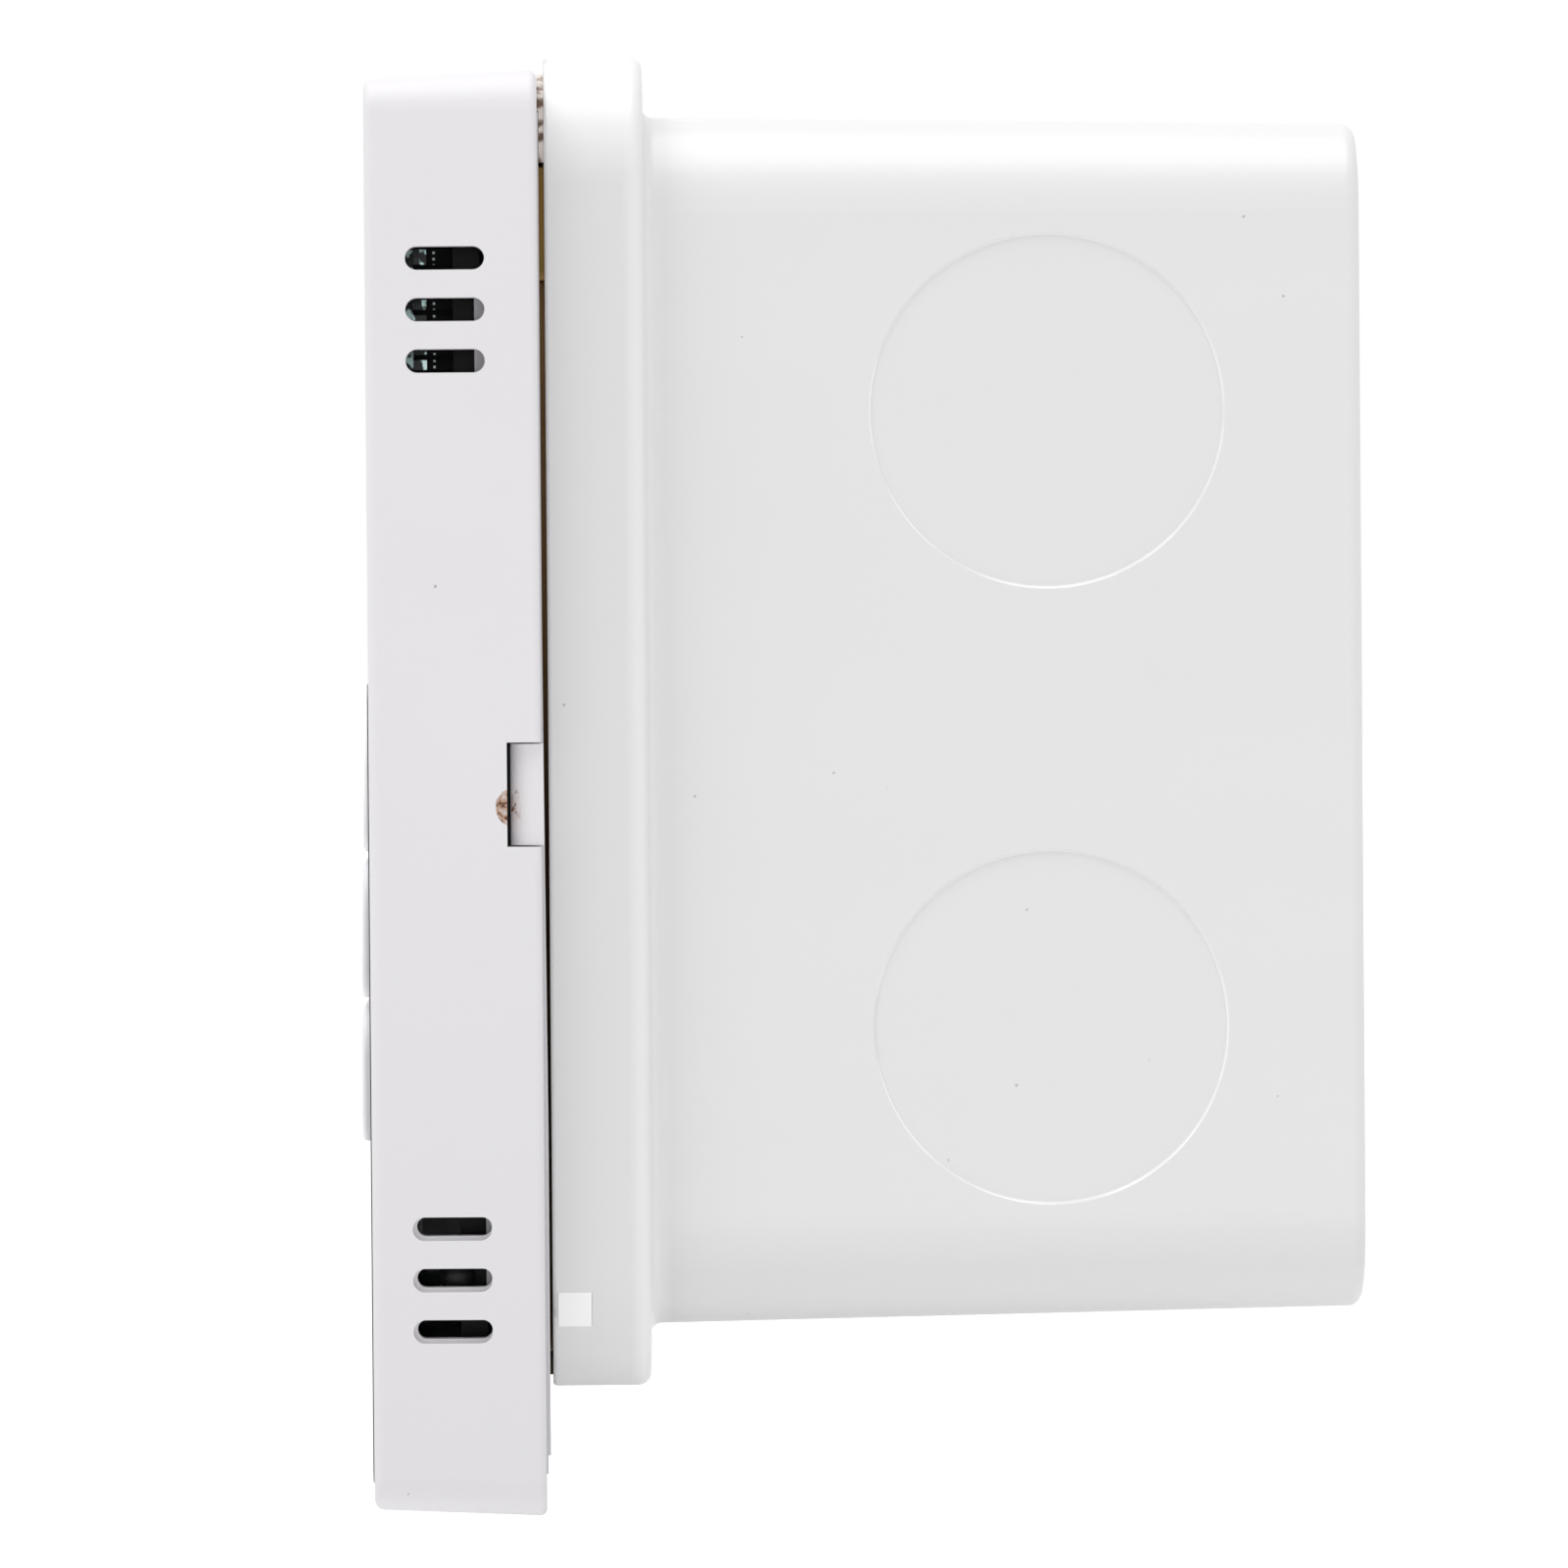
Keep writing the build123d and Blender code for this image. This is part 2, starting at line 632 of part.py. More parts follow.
    # Standoffs for the power board, and the way out for the terminal block
    with BuildSketch(head_plane(pod_inside)):
        with GridLocations(2 * power_screw_x, 2 * power_screw_z, 2, 2):
            Circle(standoff_radius)
    extrude(amount=standoff_height)
    with Locations(head_plane(power_rear)):
        with GridLocations(2 * power_screw_x, 2 * power_screw_z, 2, 2):
            Hole(pilot_radius, depth=power_screw_length)
    with BuildSketch(head_plane(pod_rear)):
        with Locations((0, terminal_z - pod_wall)):
            Rectangle(terminal_length + 2 * fit, terminal_depth + 2 * fit + 2 * pod_wall)
    extrude(amount=terminal_height - 2 * fit, mode=Mode.SUBTRACT)
save(back_plate, "back_plate")

# Power board in the pod
with BuildPart() as power_board:
    with BuildSketch(head_plane(power_rear)):
        RectangleRounded(power_width, power_height, pod_corner - pod_wall)
        with GridLocations(2 * power_screw_x, 2 * power_screw_z, 2, 2):
            Circle(pilot_radius + fit, mode=Mode.SUBTRACT)
    extrude(amount=board_thickness)
save(power_board, "power_board")

# Screws that hold the power board on its standoffs
with BuildPart() as power_board_screws:
    with BuildSketch(head_plane(power_front)):
        with GridLocations(2 * power_screw_x, 2 * power_screw_z, 2, 2):
            Circle(board_head_radius)
    extrude(amount=board_head_height)
    fillet(power_board_screws.edges().group_by(Axis.Y)[0], board_head_height / 3)
    with BuildSketch(head_plane(power_front)):
        with GridLocations(2 * power_screw_x, 2 * power_screw_z, 2, 2):
            Circle(board_screw_radius)
    extrude(amount=-power_screw_length)
    with BuildSketch(head_plane(power_front + board_head_height)):
        with GridLocations(2 * power_screw_x, 2 * power_screw_z, 2, 2):
            Rectangle(board_head_radius, cross_recess)
            Rectangle(cross_recess, board_head_radius)
    extrude(amount=-board_head_height / 2, mode=Mode.SUBTRACT)
save(power_board_screws, "power_board_screws")

# Sealed relay
with BuildPart() as relay:
    with BuildSketch(head_plane(power_front)):
        with Locations(relay_at):
            Rectangle(relay_size[0], relay_size[1])
    extrude(amount=relay_size[2])
    fillet(relay.edges().group_by(Axis.Y)[0], part_edge)
save(relay, "relay")

# Potted transformer with a raised winding window
with BuildPart() as supply_transformer:
    with BuildSketch(head_plane(power_front)):
        with Locations(transformer_at):
            RectangleRounded(transformer_size[0], transformer_size[1], part_edge)
    extrude(amount=transformer_size[2])
    chamfer(supply_transformer.edges().group_by(Axis.Y)[0], part_edge)
    with BuildSketch(head_plane(power_front + transformer_size[2])):
        with Locations(transformer_at):
            Rectangle(transformer_size[0] / 2, transformer_size[1] / 2)
    extrude(amount=-part_edge, mode=Mode.SUBTRACT)
save(supply_transformer, "supply_transformer")

# Film capacitor across the supply
with BuildPart() as filter_capacitor:
    with BuildSketch(head_plane(power_front)):
        with Locations(film_at):
            Rectangle(film_size[0], film_size[1])
    extrude(amount=film_size[2])
    fillet(filter_capacitor.edges().group_by(Axis.Y)[0], part_edge)
save(filter_capacitor, "filter_capacitor")

# Two electrolytic cans, each with a crimp ring and a scored top
with BuildPart() as smoothing_capacitors:
    for can, place in ((large_can, large_can_at), (small_can, small_can_at)):
        with BuildSketch(Plane.XY):
            with BuildLine():
                Polyline(
                    (0, 0),
                    (can[0], 0),
                    (can[0], 2 * part_edge),
                    (can[0] - part_edge / 2, 3 * part_edge),
                    (can[0], 4 * part_edge),
                    (can[0], can[1] - part_edge),
                    (can[0] - part_edge, can[1]),
                    (0, can[1]),
                    close=True,
                )
            make_face()
        turned = revolve(axis=Axis.Y, mode=Mode.PRIVATE)
        spot = head_plane(power_front).from_local_coords(Vector(place[0], place[1], 0))
        stand = Plane(origin=spot, x_dir=(1, 0, 0), z_dir=(0, 0, 1))
        add(stand.location * Rot(180, 0, 0) * turned)
save(smoothing_capacitors, "smoothing_capacitors")

# Disc varistor standing on its edge
with BuildPart() as varistor:
    with BuildSketch(Plane.YZ.offset(varistor_at[0] - varistor_thickness / 2)):
        with Locations((-power_front - varistor_radius, varistor_at[1] - head_drop)):
            Circle(varistor_radius)
        with Locations((-power_front - varistor_radius / 2, varistor_at[1] - head_drop)):
            Rectangle(varistor_radius, varistor_radius)
    extrude(amount=varistor_thickness)
save(varistor, "varistor")

# Moulded fuse
with BuildPart() as fuse:
    with BuildSketch(head_plane(power_front)):
        with Locations(fuse_at):
            RectangleRounded(fuse_size[0], fuse_size[1], part_edge)
    extrude(amount=fuse_size[2])
    fillet(fuse.edges().group_by(Axis.Y)[0], part_edge)
save(fuse, "fuse")

# Terminal block: wire entries underneath, screws at the rear
with BuildPart() as terminal_block:
    with BuildSketch(head_plane(pod_rear)):
        with Locations((0, terminal_z)):
            Rectangle(terminal_length, terminal_depth)
    extrude(amount=terminal_height)
    with BuildSketch(head_plane(clamp_rear - fit / 2)):
        with Locations((0, terminal_bottom + entry_length / 2)):
            with GridLocations(terminal_spacing, 0, terminal_ways, 1):
                Rectangle(clamp_width + fit, entry_length)
    extrude(amount=clamp_height + fit, mode=Mode.SUBTRACT)
    with BuildSketch(head_plane(pod_rear)):
        with Locations((0, terminal_bottom + entry_length - clamp_length / 2)):
            with GridLocations(terminal_spacing, 0, terminal_ways, 1):
                Circle(terminal_head_radius + fit)
    extrude(amount=clamp_cover, mode=Mode.SUBTRACT)
save(terminal_block, "terminal_block")

# Clamps: short square tubes the wires go into
clamp_z = terminal_bottom + entry_length - clamp_length / 2
with BuildPart() as terminal_clamps:
    with BuildSketch(Plane.XY.offset(clamp_z - head_drop - clamp_length / 2)):
        with Locations((0, -clamp_level)):
            with GridLocations(terminal_spacing, 0, terminal_ways, 1):
                Rectangle(clamp_width, clamp_height)
                Rectangle(clamp_width - 2 * clamp_wall, clamp_height - 2 * clamp_wall, mode=Mode.SUBTRACT)
    extrude(amount=clamp_length)
    with BuildSketch(head_plane(clamp_rear)):
        with Locations((0, clamp_z)):
            with GridLocations(terminal_spacing, 0, terminal_ways, 1):
                Circle(terminal_shank_radius + fit / 2)
    extrude(amount=clamp_wall, mode=Mode.SUBTRACT)
save(terminal_clamps, "terminal_clamps")

# Screws of the clamps, with driver slots that face the rear
with BuildPart() as terminal_screws:
    with BuildSketch(head_plane(clamp_rear)):
        with Locations((0, clamp_z)):
            with GridLocations(terminal_spacing, 0, terminal_ways, 1):
                Circle(terminal_head_radius)
    extrude(amount=-terminal_head_height)
    with BuildSketch(head_plane(clamp_rear)):
        with Locations((0, clamp_z)):
            with GridLocations(terminal_spacing, 0, terminal_ways, 1):
                Circle(terminal_shank_radius)
    extrude(amount=2 * clamp_wall)
    with BuildSketch(head_plane(clamp_rear - terminal_head_height)):
        with Locations((0, clamp_z)):
            with GridLocations(terminal_spacing, 0, terminal_ways, 1):
                Rectangle(2 * terminal_head_radius, cross_recess)
    extrude(amount=slot_depth, mode=Mode.SUBTRACT)
save(terminal_screws, "terminal_screws")

# Socket on the power board for the front's pins
socket_length = header_pins * header_spacing
with BuildPart() as header_socket:
    with BuildSketch(head_plane(power_front)):
        with Locations((socket_x, socket_z)):
            Rectangle(header_base, socket_length)
    extrude(amount=socket_height)
    with BuildSketch(head_plane(power_front + socket_height)):
        with Locations((socket_x, socket_z)):
            with GridLocations(0, header_spacing, 1, header_pins):
                Rectangle(socket_hole, socket_hole)
    extrude(amount=-socket_height + part_edge, mode=Mode.SUBTRACT)
save(header_socket, "header_socket")

# Front cover: drafted shell, open at the rear
with BuildPart() as front_cover:
    with BuildSketch(head_plane(cover_rear)):
        RectangleRounded(cover_size, cover_size, cover_corner)
    extrude(amount=cover_depth, taper=cover_draft)
    fillet(front_cover.edges().group_by(Axis.Y)[0], cover_front_radius)
    fillet(front_cover.edges().group_by(Axis.Y)[-1], cover_rear_radius)
    with BuildSketch(head_plane(cover_rear)):
        RectangleRounded(2 * cover_rear_inner, 2 * cover_rear_inner, cover_corner / 3)
    extrude(amount=cover_depth - front_wall, taper=cover_draft, mode=Mode.SUBTRACT)
    # Seats for the key panel and the lens, openings for the display and the keys
    with BuildSketch(head_plane(panel_rear)):
        with Locations((0, panel_z)):
            RectangleRounded(2 * panel_half + fit, panel_height + fit, panel_corner)
        with Locations((0, lcd_centre_z)):
            RectangleRounded(lens_width, lens_height, part_edge)
    extrude(amount=front_wall, mode=Mode.SUBTRACT)
    with BuildSketch(head_plane(inner_front)):
        with Locations((0, lcd_centre_z)):
            RectangleRounded(window_width, window_height, part_edge)
        with Locations((-key_x, key_strip_z), (key_x, key_strip_z)):
            RectangleRounded(key_width + 2 * key_fit, key_strip_length + 2 * key_fit, key_corner + key_fit)
    extrude(amount=front_wall, mode=Mode.SUBTRACT)
    # Vents through both sides, above and below the middle
    vent_level = cover_front - vent_setback
    with BuildSketch(side_plane(0)):
        with Locations((vent_level, vent_height)):
            with GridLocations(0, vent_spacing, 1, vent_count):
                SlotOverall(vent_length, vent_width)
        with Locations((vent_level - vent_lip / 2, vent_lip / 2 - vent_height)):
            with GridLocations(0, vent_spacing, 1, vent_count):
                SlotOverall(vent_length - vent_lip, vent_width - vent_lip)
    extrude(amount=cover_size, both=True, mode=Mode.SUBTRACT)
    for hand in (-1, 1):
        with BuildSketch(side_plane(hand * (cover_size / 2 - vent_lip_sink))):
            with Locations((vent_level, -vent_height)):
                with GridLocations(0, vent_spacing, 1, vent_count):
                    SlotOverall(vent_length, vent_width)
        extrude(amount=-hand * cover_size, mode=Mode.SUBTRACT)
    # Latch notches in both rear edges, and a pry scoop beside the right one
    with BuildSketch(side_plane(0)):
        with Locations((cover_rear + notch_depth / 2, 0)):
            Rectangle(notch_depth, notch_length)
    extrude(amount=cover_size, both=True, mode=Mode.SUBTRACT)
    with BuildSketch(side_plane(cover_size / 2)):
        with Locations((cover_rear + notch_depth - scoop_inset, -scoop_drop)):
            Circle(scoop_radius)
    extrude(amount=scoop_sink, taper=scoop_slope, mode=Mode.SUBTRACT)
    # Ridges that the back plate's catches hold
    ridge_level = rib_front - 2 * catch_width - fit
    ridge_wall = cover_rear_inner - (ridge_level - cover_rear) * lean
    ridge_inner = rib_outer + catch_height + catch_fit
    with BuildSketch(head_plane(ridge_level)):
        with GridLocations(ridge_wall + ridge_inner + cover_wall / 2, 0, 2, 1):
            Rectangle(ridge_wall + cover_wall / 2 - ridge_inner, 2 * catch_half_length)
    extrude(amount=catch_width)
    # Bosses for the main board
    with BuildSketch(head_plane(main_front)):
        with GridLocations(2 * board_screw_at, 2 * board_screw_at, 2, 2):
            Circle(screw_boss_radius)
    extrude(amount=inner_front - main_front)
    with BuildSketch(head_plane(main_front)):
        with GridLocations(2 * board_screw_at, 2 * board_screw_at, 2, 2):
            Circle(pilot_radius)
    extrude(amount=board_screw_length - board_thickness + fit, mode=Mode.SUBTRACT)
save(front_cover, "front_cover")

# Dark panel round the keys
with BuildPart() as front_panel:
    with BuildSketch(head_plane(panel_rear)):
        with Locations((0, panel_z)):
            RectangleRounded(2 * panel_half, panel_height, panel_corner)
        with Locations((-key_x, key_strip_z), (key_x, key_strip_z)):
            RectangleRounded(
                key_width + 2 * key_fit,
                key_strip_length + 2 * key_fit,
                key_corner + key_fit,
                mode=Mode.SUBTRACT,
            )
    extrude(amount=panel_thickness)
save(front_panel, "front_panel")

# Clear lens over the display, flush with the cover
with BuildPart() as lcd_window:
    with BuildSketch(head_plane(panel_rear)):
        with Locations((0, lcd_centre_z)):
            RectangleRounded(lens_width - fit, lens_height - fit, part_edge)
    extrude(amount=cover_front - panel_rear)
save(lcd_window, "lcd_window")

# Display glass: two plates, the rear one with a contact ledge on the right
with BuildPart() as lcd_glass:
    with BuildSketch(head_plane(lcd_rear)):
        with Locations((0, lcd_centre_z)):
            Rectangle(lcd_width, lcd_height)
    extrude(amount=lcd_thickness)
    with BuildSketch(head_plane(inner_front)):
        with Locations((lcd_right, lcd_centre_z)):
            Rectangle(2 * window_ledge, lcd_height)
    extrude(amount=-lcd_thickness / 2, mode=Mode.SUBTRACT)
save(lcd_glass, "lcd_glass")

# Light guide behind the display
with BuildPart() as lcd_backlight:
    with BuildSketch(head_plane(main_front)):
        with Locations((0, lcd_centre_z)):
            Rectangle(lcd_width, lcd_height)
    extrude(amount=backlight_thickness)
save(lcd_backlight, "lcd_backlight")

# Contact pins down the display's right edge
with BuildPart() as lcd_pins:
    with BuildSketch(head_plane(main_front)):
        with Locations((lcd_right + lcd_pin_width / 2 + fit / 2, lcd_centre_z)):
            with GridLocations(0, lcd_pin_spacing, 1, lcd_pin_count):
                Rectangle(lcd_pin_width, lcd_pin_width)
    extrude(amount=backlight_thickness + lcd_thickness / 2)
save(lcd_pins, "lcd_pins")

# Main board, fixed to the cover
with BuildPart() as main_board:
    with BuildSketch(head_plane(main_rear)):
        RectangleRounded(2 * main_half, 2 * main_half, part_edge)
        with GridLocations(2 * board_screw_at, 2 * board_screw_at, 2, 2):
            Circle(pilot_radius + fit, mode=Mode.SUBTRACT)
    extrude(amount=board_thickness)
save(main_board, "main_board")

# Screws that hold the main board on the cover's bosses
with BuildPart() as main_board_screws:
    with BuildSketch(head_plane(main_rear)):
        with GridLocations(2 * board_screw_at, 2 * board_screw_at, 2, 2):
            Circle(board_head_radius)
    extrude(amount=-board_head_height)
    fillet(main_board_screws.edges().group_by(Axis.Y)[-1], board_head_height / 3)
    with BuildSketch(head_plane(main_rear)):
        with GridLocations(2 * board_screw_at, 2 * board_screw_at, 2, 2):
            Circle(board_screw_radius)
    extrude(amount=board_screw_length)
    with BuildSketch(head_plane(main_rear - board_head_height)):
        with GridLocations(2 * board_screw_at, 2 * board_screw_at, 2, 2):
            Rectangle(board_head_radius, cross_recess)
            Rectangle(cross_recess, board_head_radius)
    extrude(amount=board_head_height / 2, mode=Mode.SUBTRACT)
save(main_board_screws, "main_board_screws")

# Controller on the rear of the main board, with leads on all four sides
with BuildPart() as controller_chip:
    with BuildSketch(head_plane(main_rear)):
        with Locations((chip_x, chip_z)):
            Rectangle(chip_width, chip_width)
    extrude(amount=-chip_thickness)
    chamfer(controller_chip.edges().group_by(Axis.Y)[-1], chip_thickness / 4)
    with BuildSketch(head_plane(main_rear)):
        with Locations((chip_x, chip_z)):
            with GridLocations(lead_spacing, 0, lead_count, 1):
                Rectangle(lead_width, chip_width + 2 * lead_reach)
            with GridLocations(0, lead_spacing, 1, lead_count):
                Rectangle(chip_width + 2 * lead_reach, lead_width)
    extrude(amount=-chip_thickness / 4)
save(controller_chip, "controller_chip")

# Crystal can beside the controller
with BuildPart() as clock_crystal:
    with BuildSketch(head_plane(main_rear)):
        with Locations((chip_x, crystal_z)):
            SlotOverall(crystal_length, crystal_width)
    extrude(amount=-crystal_height)
    fillet(clock_crystal.edges().group_by(Axis.Y)[-1], part_edge)
save(clock_crystal, "clock_crystal")

# Thermistor bead behind the lower right vents, on two leads
bead_x = main_half + bead_radius + fit
bead_level = main_front + bead_lead_radius
with BuildPart() as room_sensor:
    with Locations((bead_x, -bead_level, bead_z - head_drop)):
        Sphere(bead_radius)
    with BuildSketch(Plane.YZ.offset(bead_x - bead_lead_length)):
        with Locations((-bead_level, bead_z - head_drop)):
            with GridLocations(0, bead_lead_spread, 1, 2):
                Circle(bead_lead_radius)
    extrude(amount=bead_lead_length)
save(room_sensor, "room_sensor")

# Bodies of the switches, one under the middle of each key
with BuildPart() as switch_bases:
    with BuildSketch(head_plane(main_front)):
        with Locations((0, key_strip_z)):
            with GridLocations(2 * key_x, key_step, 2, 3):
                RectangleRounded(switch_width, switch_width, part_edge)
    extrude(amount=switch_height)
    with BuildSketch(head_plane(switch_top)):
        with Locations((0, key_strip_z)):
            with GridLocations(2 * key_x, key_step, 2, 3):
                Circle(plunger_radius + plunger_fit)
    extrude(amount=-switch_height + part_edge / 2, mode=Mode.SUBTRACT)
save(switch_bases, "switch_bases")

# Keys: two rows of three under one shallow crown, with flanges under the cover
key_places = {
    "power": (-key_x, key_step, key_end_length),
    "fan": (-key_x, 0, key_middle_length),
    "clock": (-key_x, -key_step, key_end_length),
    "up": (key_x, key_step, key_end_length),
    "set": (key_x, 0, key_middle_length),
    "down": (key_x, -key_step, key_end_length),
}
for name, (across, above, length) in key_places.items():
    with BuildPart() as key:
        with BuildSketch(head_plane(key_flange_front)):
            with Locations((across, key_strip_z + above)):
                RectangleRounded(key_width, length, key_corner)
        extrude(amount=key_top - key_flange_front)
        with BuildSketch(Plane.YZ):
            with Locations((key_crown_radius - key_top, key_strip_z - key_crown_drop - head_drop)):
                Circle(key_crown_radius)
        extrude(amount=cover_size, both=True, mode=Mode.INTERSECT)
        crown = key.faces().sort_by(Axis.Y)[0]
        fillet(crown.edges(), key_edge_radius)
        with BuildSketch(head_plane(key_flange_rear)):
            with Locations((across, key_strip_z + above)):
                Rectangle(key_width + 2 * key_flange, length)
        extrude(amount=key_flange_thickness)
    save(key, f"key_{name}")

# Plungers of the switches, each touching its key
plunger_foot = switch_top - key_travel - part_edge / 2
for name, (across, above, length) in key_places.items():
    with BuildPart() as plunger:
        with BuildSketch(head_plane(plunger_foot)):
            with Locations((across, key_strip_z + above)):
                Circle(plunger_radius)
        extrude(amount=key_flange_rear - plunger_foot)
    save(plunger, f"plunger_{name}")

# Pins on the rear of the main board that plug into the socket
with BuildPart() as pin_header:
    with BuildSketch(head_plane(main_rear)):
        with Locations((socket_x, socket_z)):
            Rectangle(header_base, socket_length)
    extrude(amount=-header_base)
    with BuildSketch(head_plane(main_rear - header_base)):
        with Locations((socket_x, socket_z)):
            with GridLocations(0, header_spacing, 1, header_pins):
                Rectangle(header_pin_width, header_pin_width)
    extrude(amount=-header_pin_length)
save(pin_header, "pin_header")
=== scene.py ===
# %% [markdown]
# # A wall thermostat on its flush box
# A room thermostat of this kind is a thin white front with a display and keys,
# screwed to a deep box that is set into the wall. The solids were drawn in CAD
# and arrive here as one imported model, in metres. We could model them again in
# Blender, but then they would have to be fitted to the joints by hand. So the
# CAD meshes stay where they are, and this lesson gives them their finishes,
# the display and key prints, a studio and a camera.

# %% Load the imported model
import json
from math import radians

import bmesh
import bpy
from mathutils import Matrix, Vector


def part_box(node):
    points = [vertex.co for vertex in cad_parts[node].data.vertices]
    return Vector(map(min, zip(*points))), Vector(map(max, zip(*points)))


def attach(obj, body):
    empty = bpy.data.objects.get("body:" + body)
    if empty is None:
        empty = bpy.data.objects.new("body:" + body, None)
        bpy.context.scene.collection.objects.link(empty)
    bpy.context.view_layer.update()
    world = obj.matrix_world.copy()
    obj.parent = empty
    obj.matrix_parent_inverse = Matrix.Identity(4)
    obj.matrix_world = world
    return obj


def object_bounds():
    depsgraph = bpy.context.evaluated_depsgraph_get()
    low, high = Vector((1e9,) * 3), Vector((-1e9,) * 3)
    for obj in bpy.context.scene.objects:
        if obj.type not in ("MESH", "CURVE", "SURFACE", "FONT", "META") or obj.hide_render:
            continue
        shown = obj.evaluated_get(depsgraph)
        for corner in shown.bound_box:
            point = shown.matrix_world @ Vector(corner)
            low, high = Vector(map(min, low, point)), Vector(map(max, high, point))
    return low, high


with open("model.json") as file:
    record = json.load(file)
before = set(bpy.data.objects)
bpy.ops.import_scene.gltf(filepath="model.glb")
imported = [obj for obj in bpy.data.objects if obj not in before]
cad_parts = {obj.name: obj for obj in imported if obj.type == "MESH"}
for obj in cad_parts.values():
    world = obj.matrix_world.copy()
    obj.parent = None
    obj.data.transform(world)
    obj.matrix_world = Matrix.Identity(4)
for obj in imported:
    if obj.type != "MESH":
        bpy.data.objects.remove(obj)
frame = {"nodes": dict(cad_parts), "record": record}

MM = 0.001
cad_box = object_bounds()
nodes = frame["nodes"]
print(len(nodes), "CAD nodes, box in mm:", [round(side / MM, 2) for side in cad_box[1] - cad_box[0]])

# %% [markdown]
# ## The camera
# The photograph looks at the right side of the thermostat from about 0.6 m and
# with a long lens, so the side is nearly flat. The camera stands level with the
# rear edge of the front, because neither that edge nor the back of the rim
# shows. We could turn the camera by eye, but the vents and the knockouts have
# known places, and the place, focal length and roll below bring them within
# about four pixels of where the photograph has them.

# %% Camera
SENSOR = 36.0
camera_lens = 238.6
camera_place = Vector((659.2, -49.5, 5.5)) * MM
camera_aim = Vector((41.0, -34.97, -3.72)) * MM
camera_roll = -0.447

camera_data = bpy.data.cameras.new("side_camera")
camera_data.sensor_width = SENSOR
camera_data.lens = camera_lens
camera = bpy.data.objects.new("side_camera", camera_data)
bpy.context.scene.collection.objects.link(camera)
turn = (camera_aim - camera_place).to_track_quat("-Z", "Y").to_matrix().to_4x4()
roll = Matrix.Rotation(radians(camera_roll), 4, "Z")
camera.matrix_world = Matrix.Translation(camera_place) @ turn @ roll
bpy.context.scene.camera = camera
print("camera", round((camera_aim - camera_place).length, 3), "m away")

# %% [markdown]
# ## Colours and nodes
# Paint and plastic colours are written as the sRGB hex values that a screen
# shows, and shader sockets want linear light, so one function turns one into
# the other. A second function adds a node, sets its values and links it. Names
# in small letters are the node's own settings, and all others are its sockets.

# %% Colour and node helpers
def linear(hex_colour):
    """The linear RGBA of an sRGB hex colour."""
    shares = [int(hex_colour[i:i + 2], 16) / 255 for i in (0, 2, 4)]
    return [s / 12.92 if s <= 0.04045 else ((s + 0.055) / 1.055) ** 2.4 for s in shares] + [1.0]


def per_mm(size):
    """The texture scale whose pattern repeats about every so many millimetres."""
    return 1 / (size * MM)


def add(tree, kind, settings=None, links=None):
    """Adds a node, sets its values by name or socket number, and links its sockets."""
    node = tree.nodes.new("ShaderNode" + kind)
    for name, value in (settings or {}).items():
        if isinstance(name, str) and name.islower():
            setattr(node, name, value)
        else:
            node.inputs[name].default_value = value
    for name, source in (links or {}).items():
        tree.links.new(source, node.inputs[name])
    return node


def start_material(name, settings):
    """A material with a Principled shader, and the coordinates that its patterns read."""
    material = bpy.data.materials.new(name)
    material.use_nodes = True
    tree = material.node_tree
    tree.nodes.clear()
    shader = add(tree, "BsdfPrincipled", settings)
    add(tree, "OutputMaterial", None, {"Surface": shader.outputs[0]})
    return material, tree, shader, add(tree, "TexCoord")


print("grey E4 is", round(linear("E4E4E4")[0], 3), "in linear light")

# %% [markdown]
# ## The white world
# The photograph is lit from all round, strongest from above, on plain white.
# We could ring the object with lamps, but a bright world is softer and simpler.
# The world shows pure white to the camera, to mirrors and to glass, and lights
# the plastic at a plainer level.

# %% World
scene = bpy.context.scene
scene.view_settings.view_transform = "Standard"
world_light = 0.60
world = bpy.data.worlds.new("white_studio")
world.use_nodes = True
scene.world = world
tree = world.node_tree
tree.nodes.clear()
path = add(tree, "LightPath")
seen = add(tree, "Math", {"operation": "MAXIMUM"},
           {0: path.outputs["Is Camera Ray"], 1: path.outputs["Is Glossy Ray"]})
seen = add(tree, "Math", {"operation": "MAXIMUM"},
           {0: seen.outputs[0], 1: path.outputs["Is Transmission Ray"]})
soft = add(tree, "Background", {"Color": linear("FDFDFF"), "Strength": world_light})
white = add(tree, "Background", {"Color": linear("FFFFFF"), "Strength": 1.0})
shown = add(tree, "MixShader", None, {0: seen.outputs[0], 1: soft.outputs[0], 2: white.outputs[0]})
add(tree, "OutputWorld", None, {"Surface": shown.outputs[0]})
print("world lights the plastic at", world_light)

# %% [markdown]
# ## The sun and the floor
# One wide sun from above on the camera's side brightens the tops. A small lamp
# would do that too, but its shadows would be hard. The floor is white paper and
# lies a little below the object, as if the wall had been taken away, and keeps
# its soft shadow.

# %% Sun and floor
sun_strength = 2.0
sun_spread = 60
sun_direction = Vector((-0.15, 0.20, -1.0))
sun_data = bpy.data.lights.new("wide_sun", "SUN")
sun_data.energy = sun_strength
sun_data.angle = radians(sun_spread)
sun = bpy.data.objects.new("wide_sun", sun_data)
scene.collection.objects.link(sun)
sun.matrix_world = sun_direction.to_track_quat("-Z", "Y").to_matrix().to_4x4()

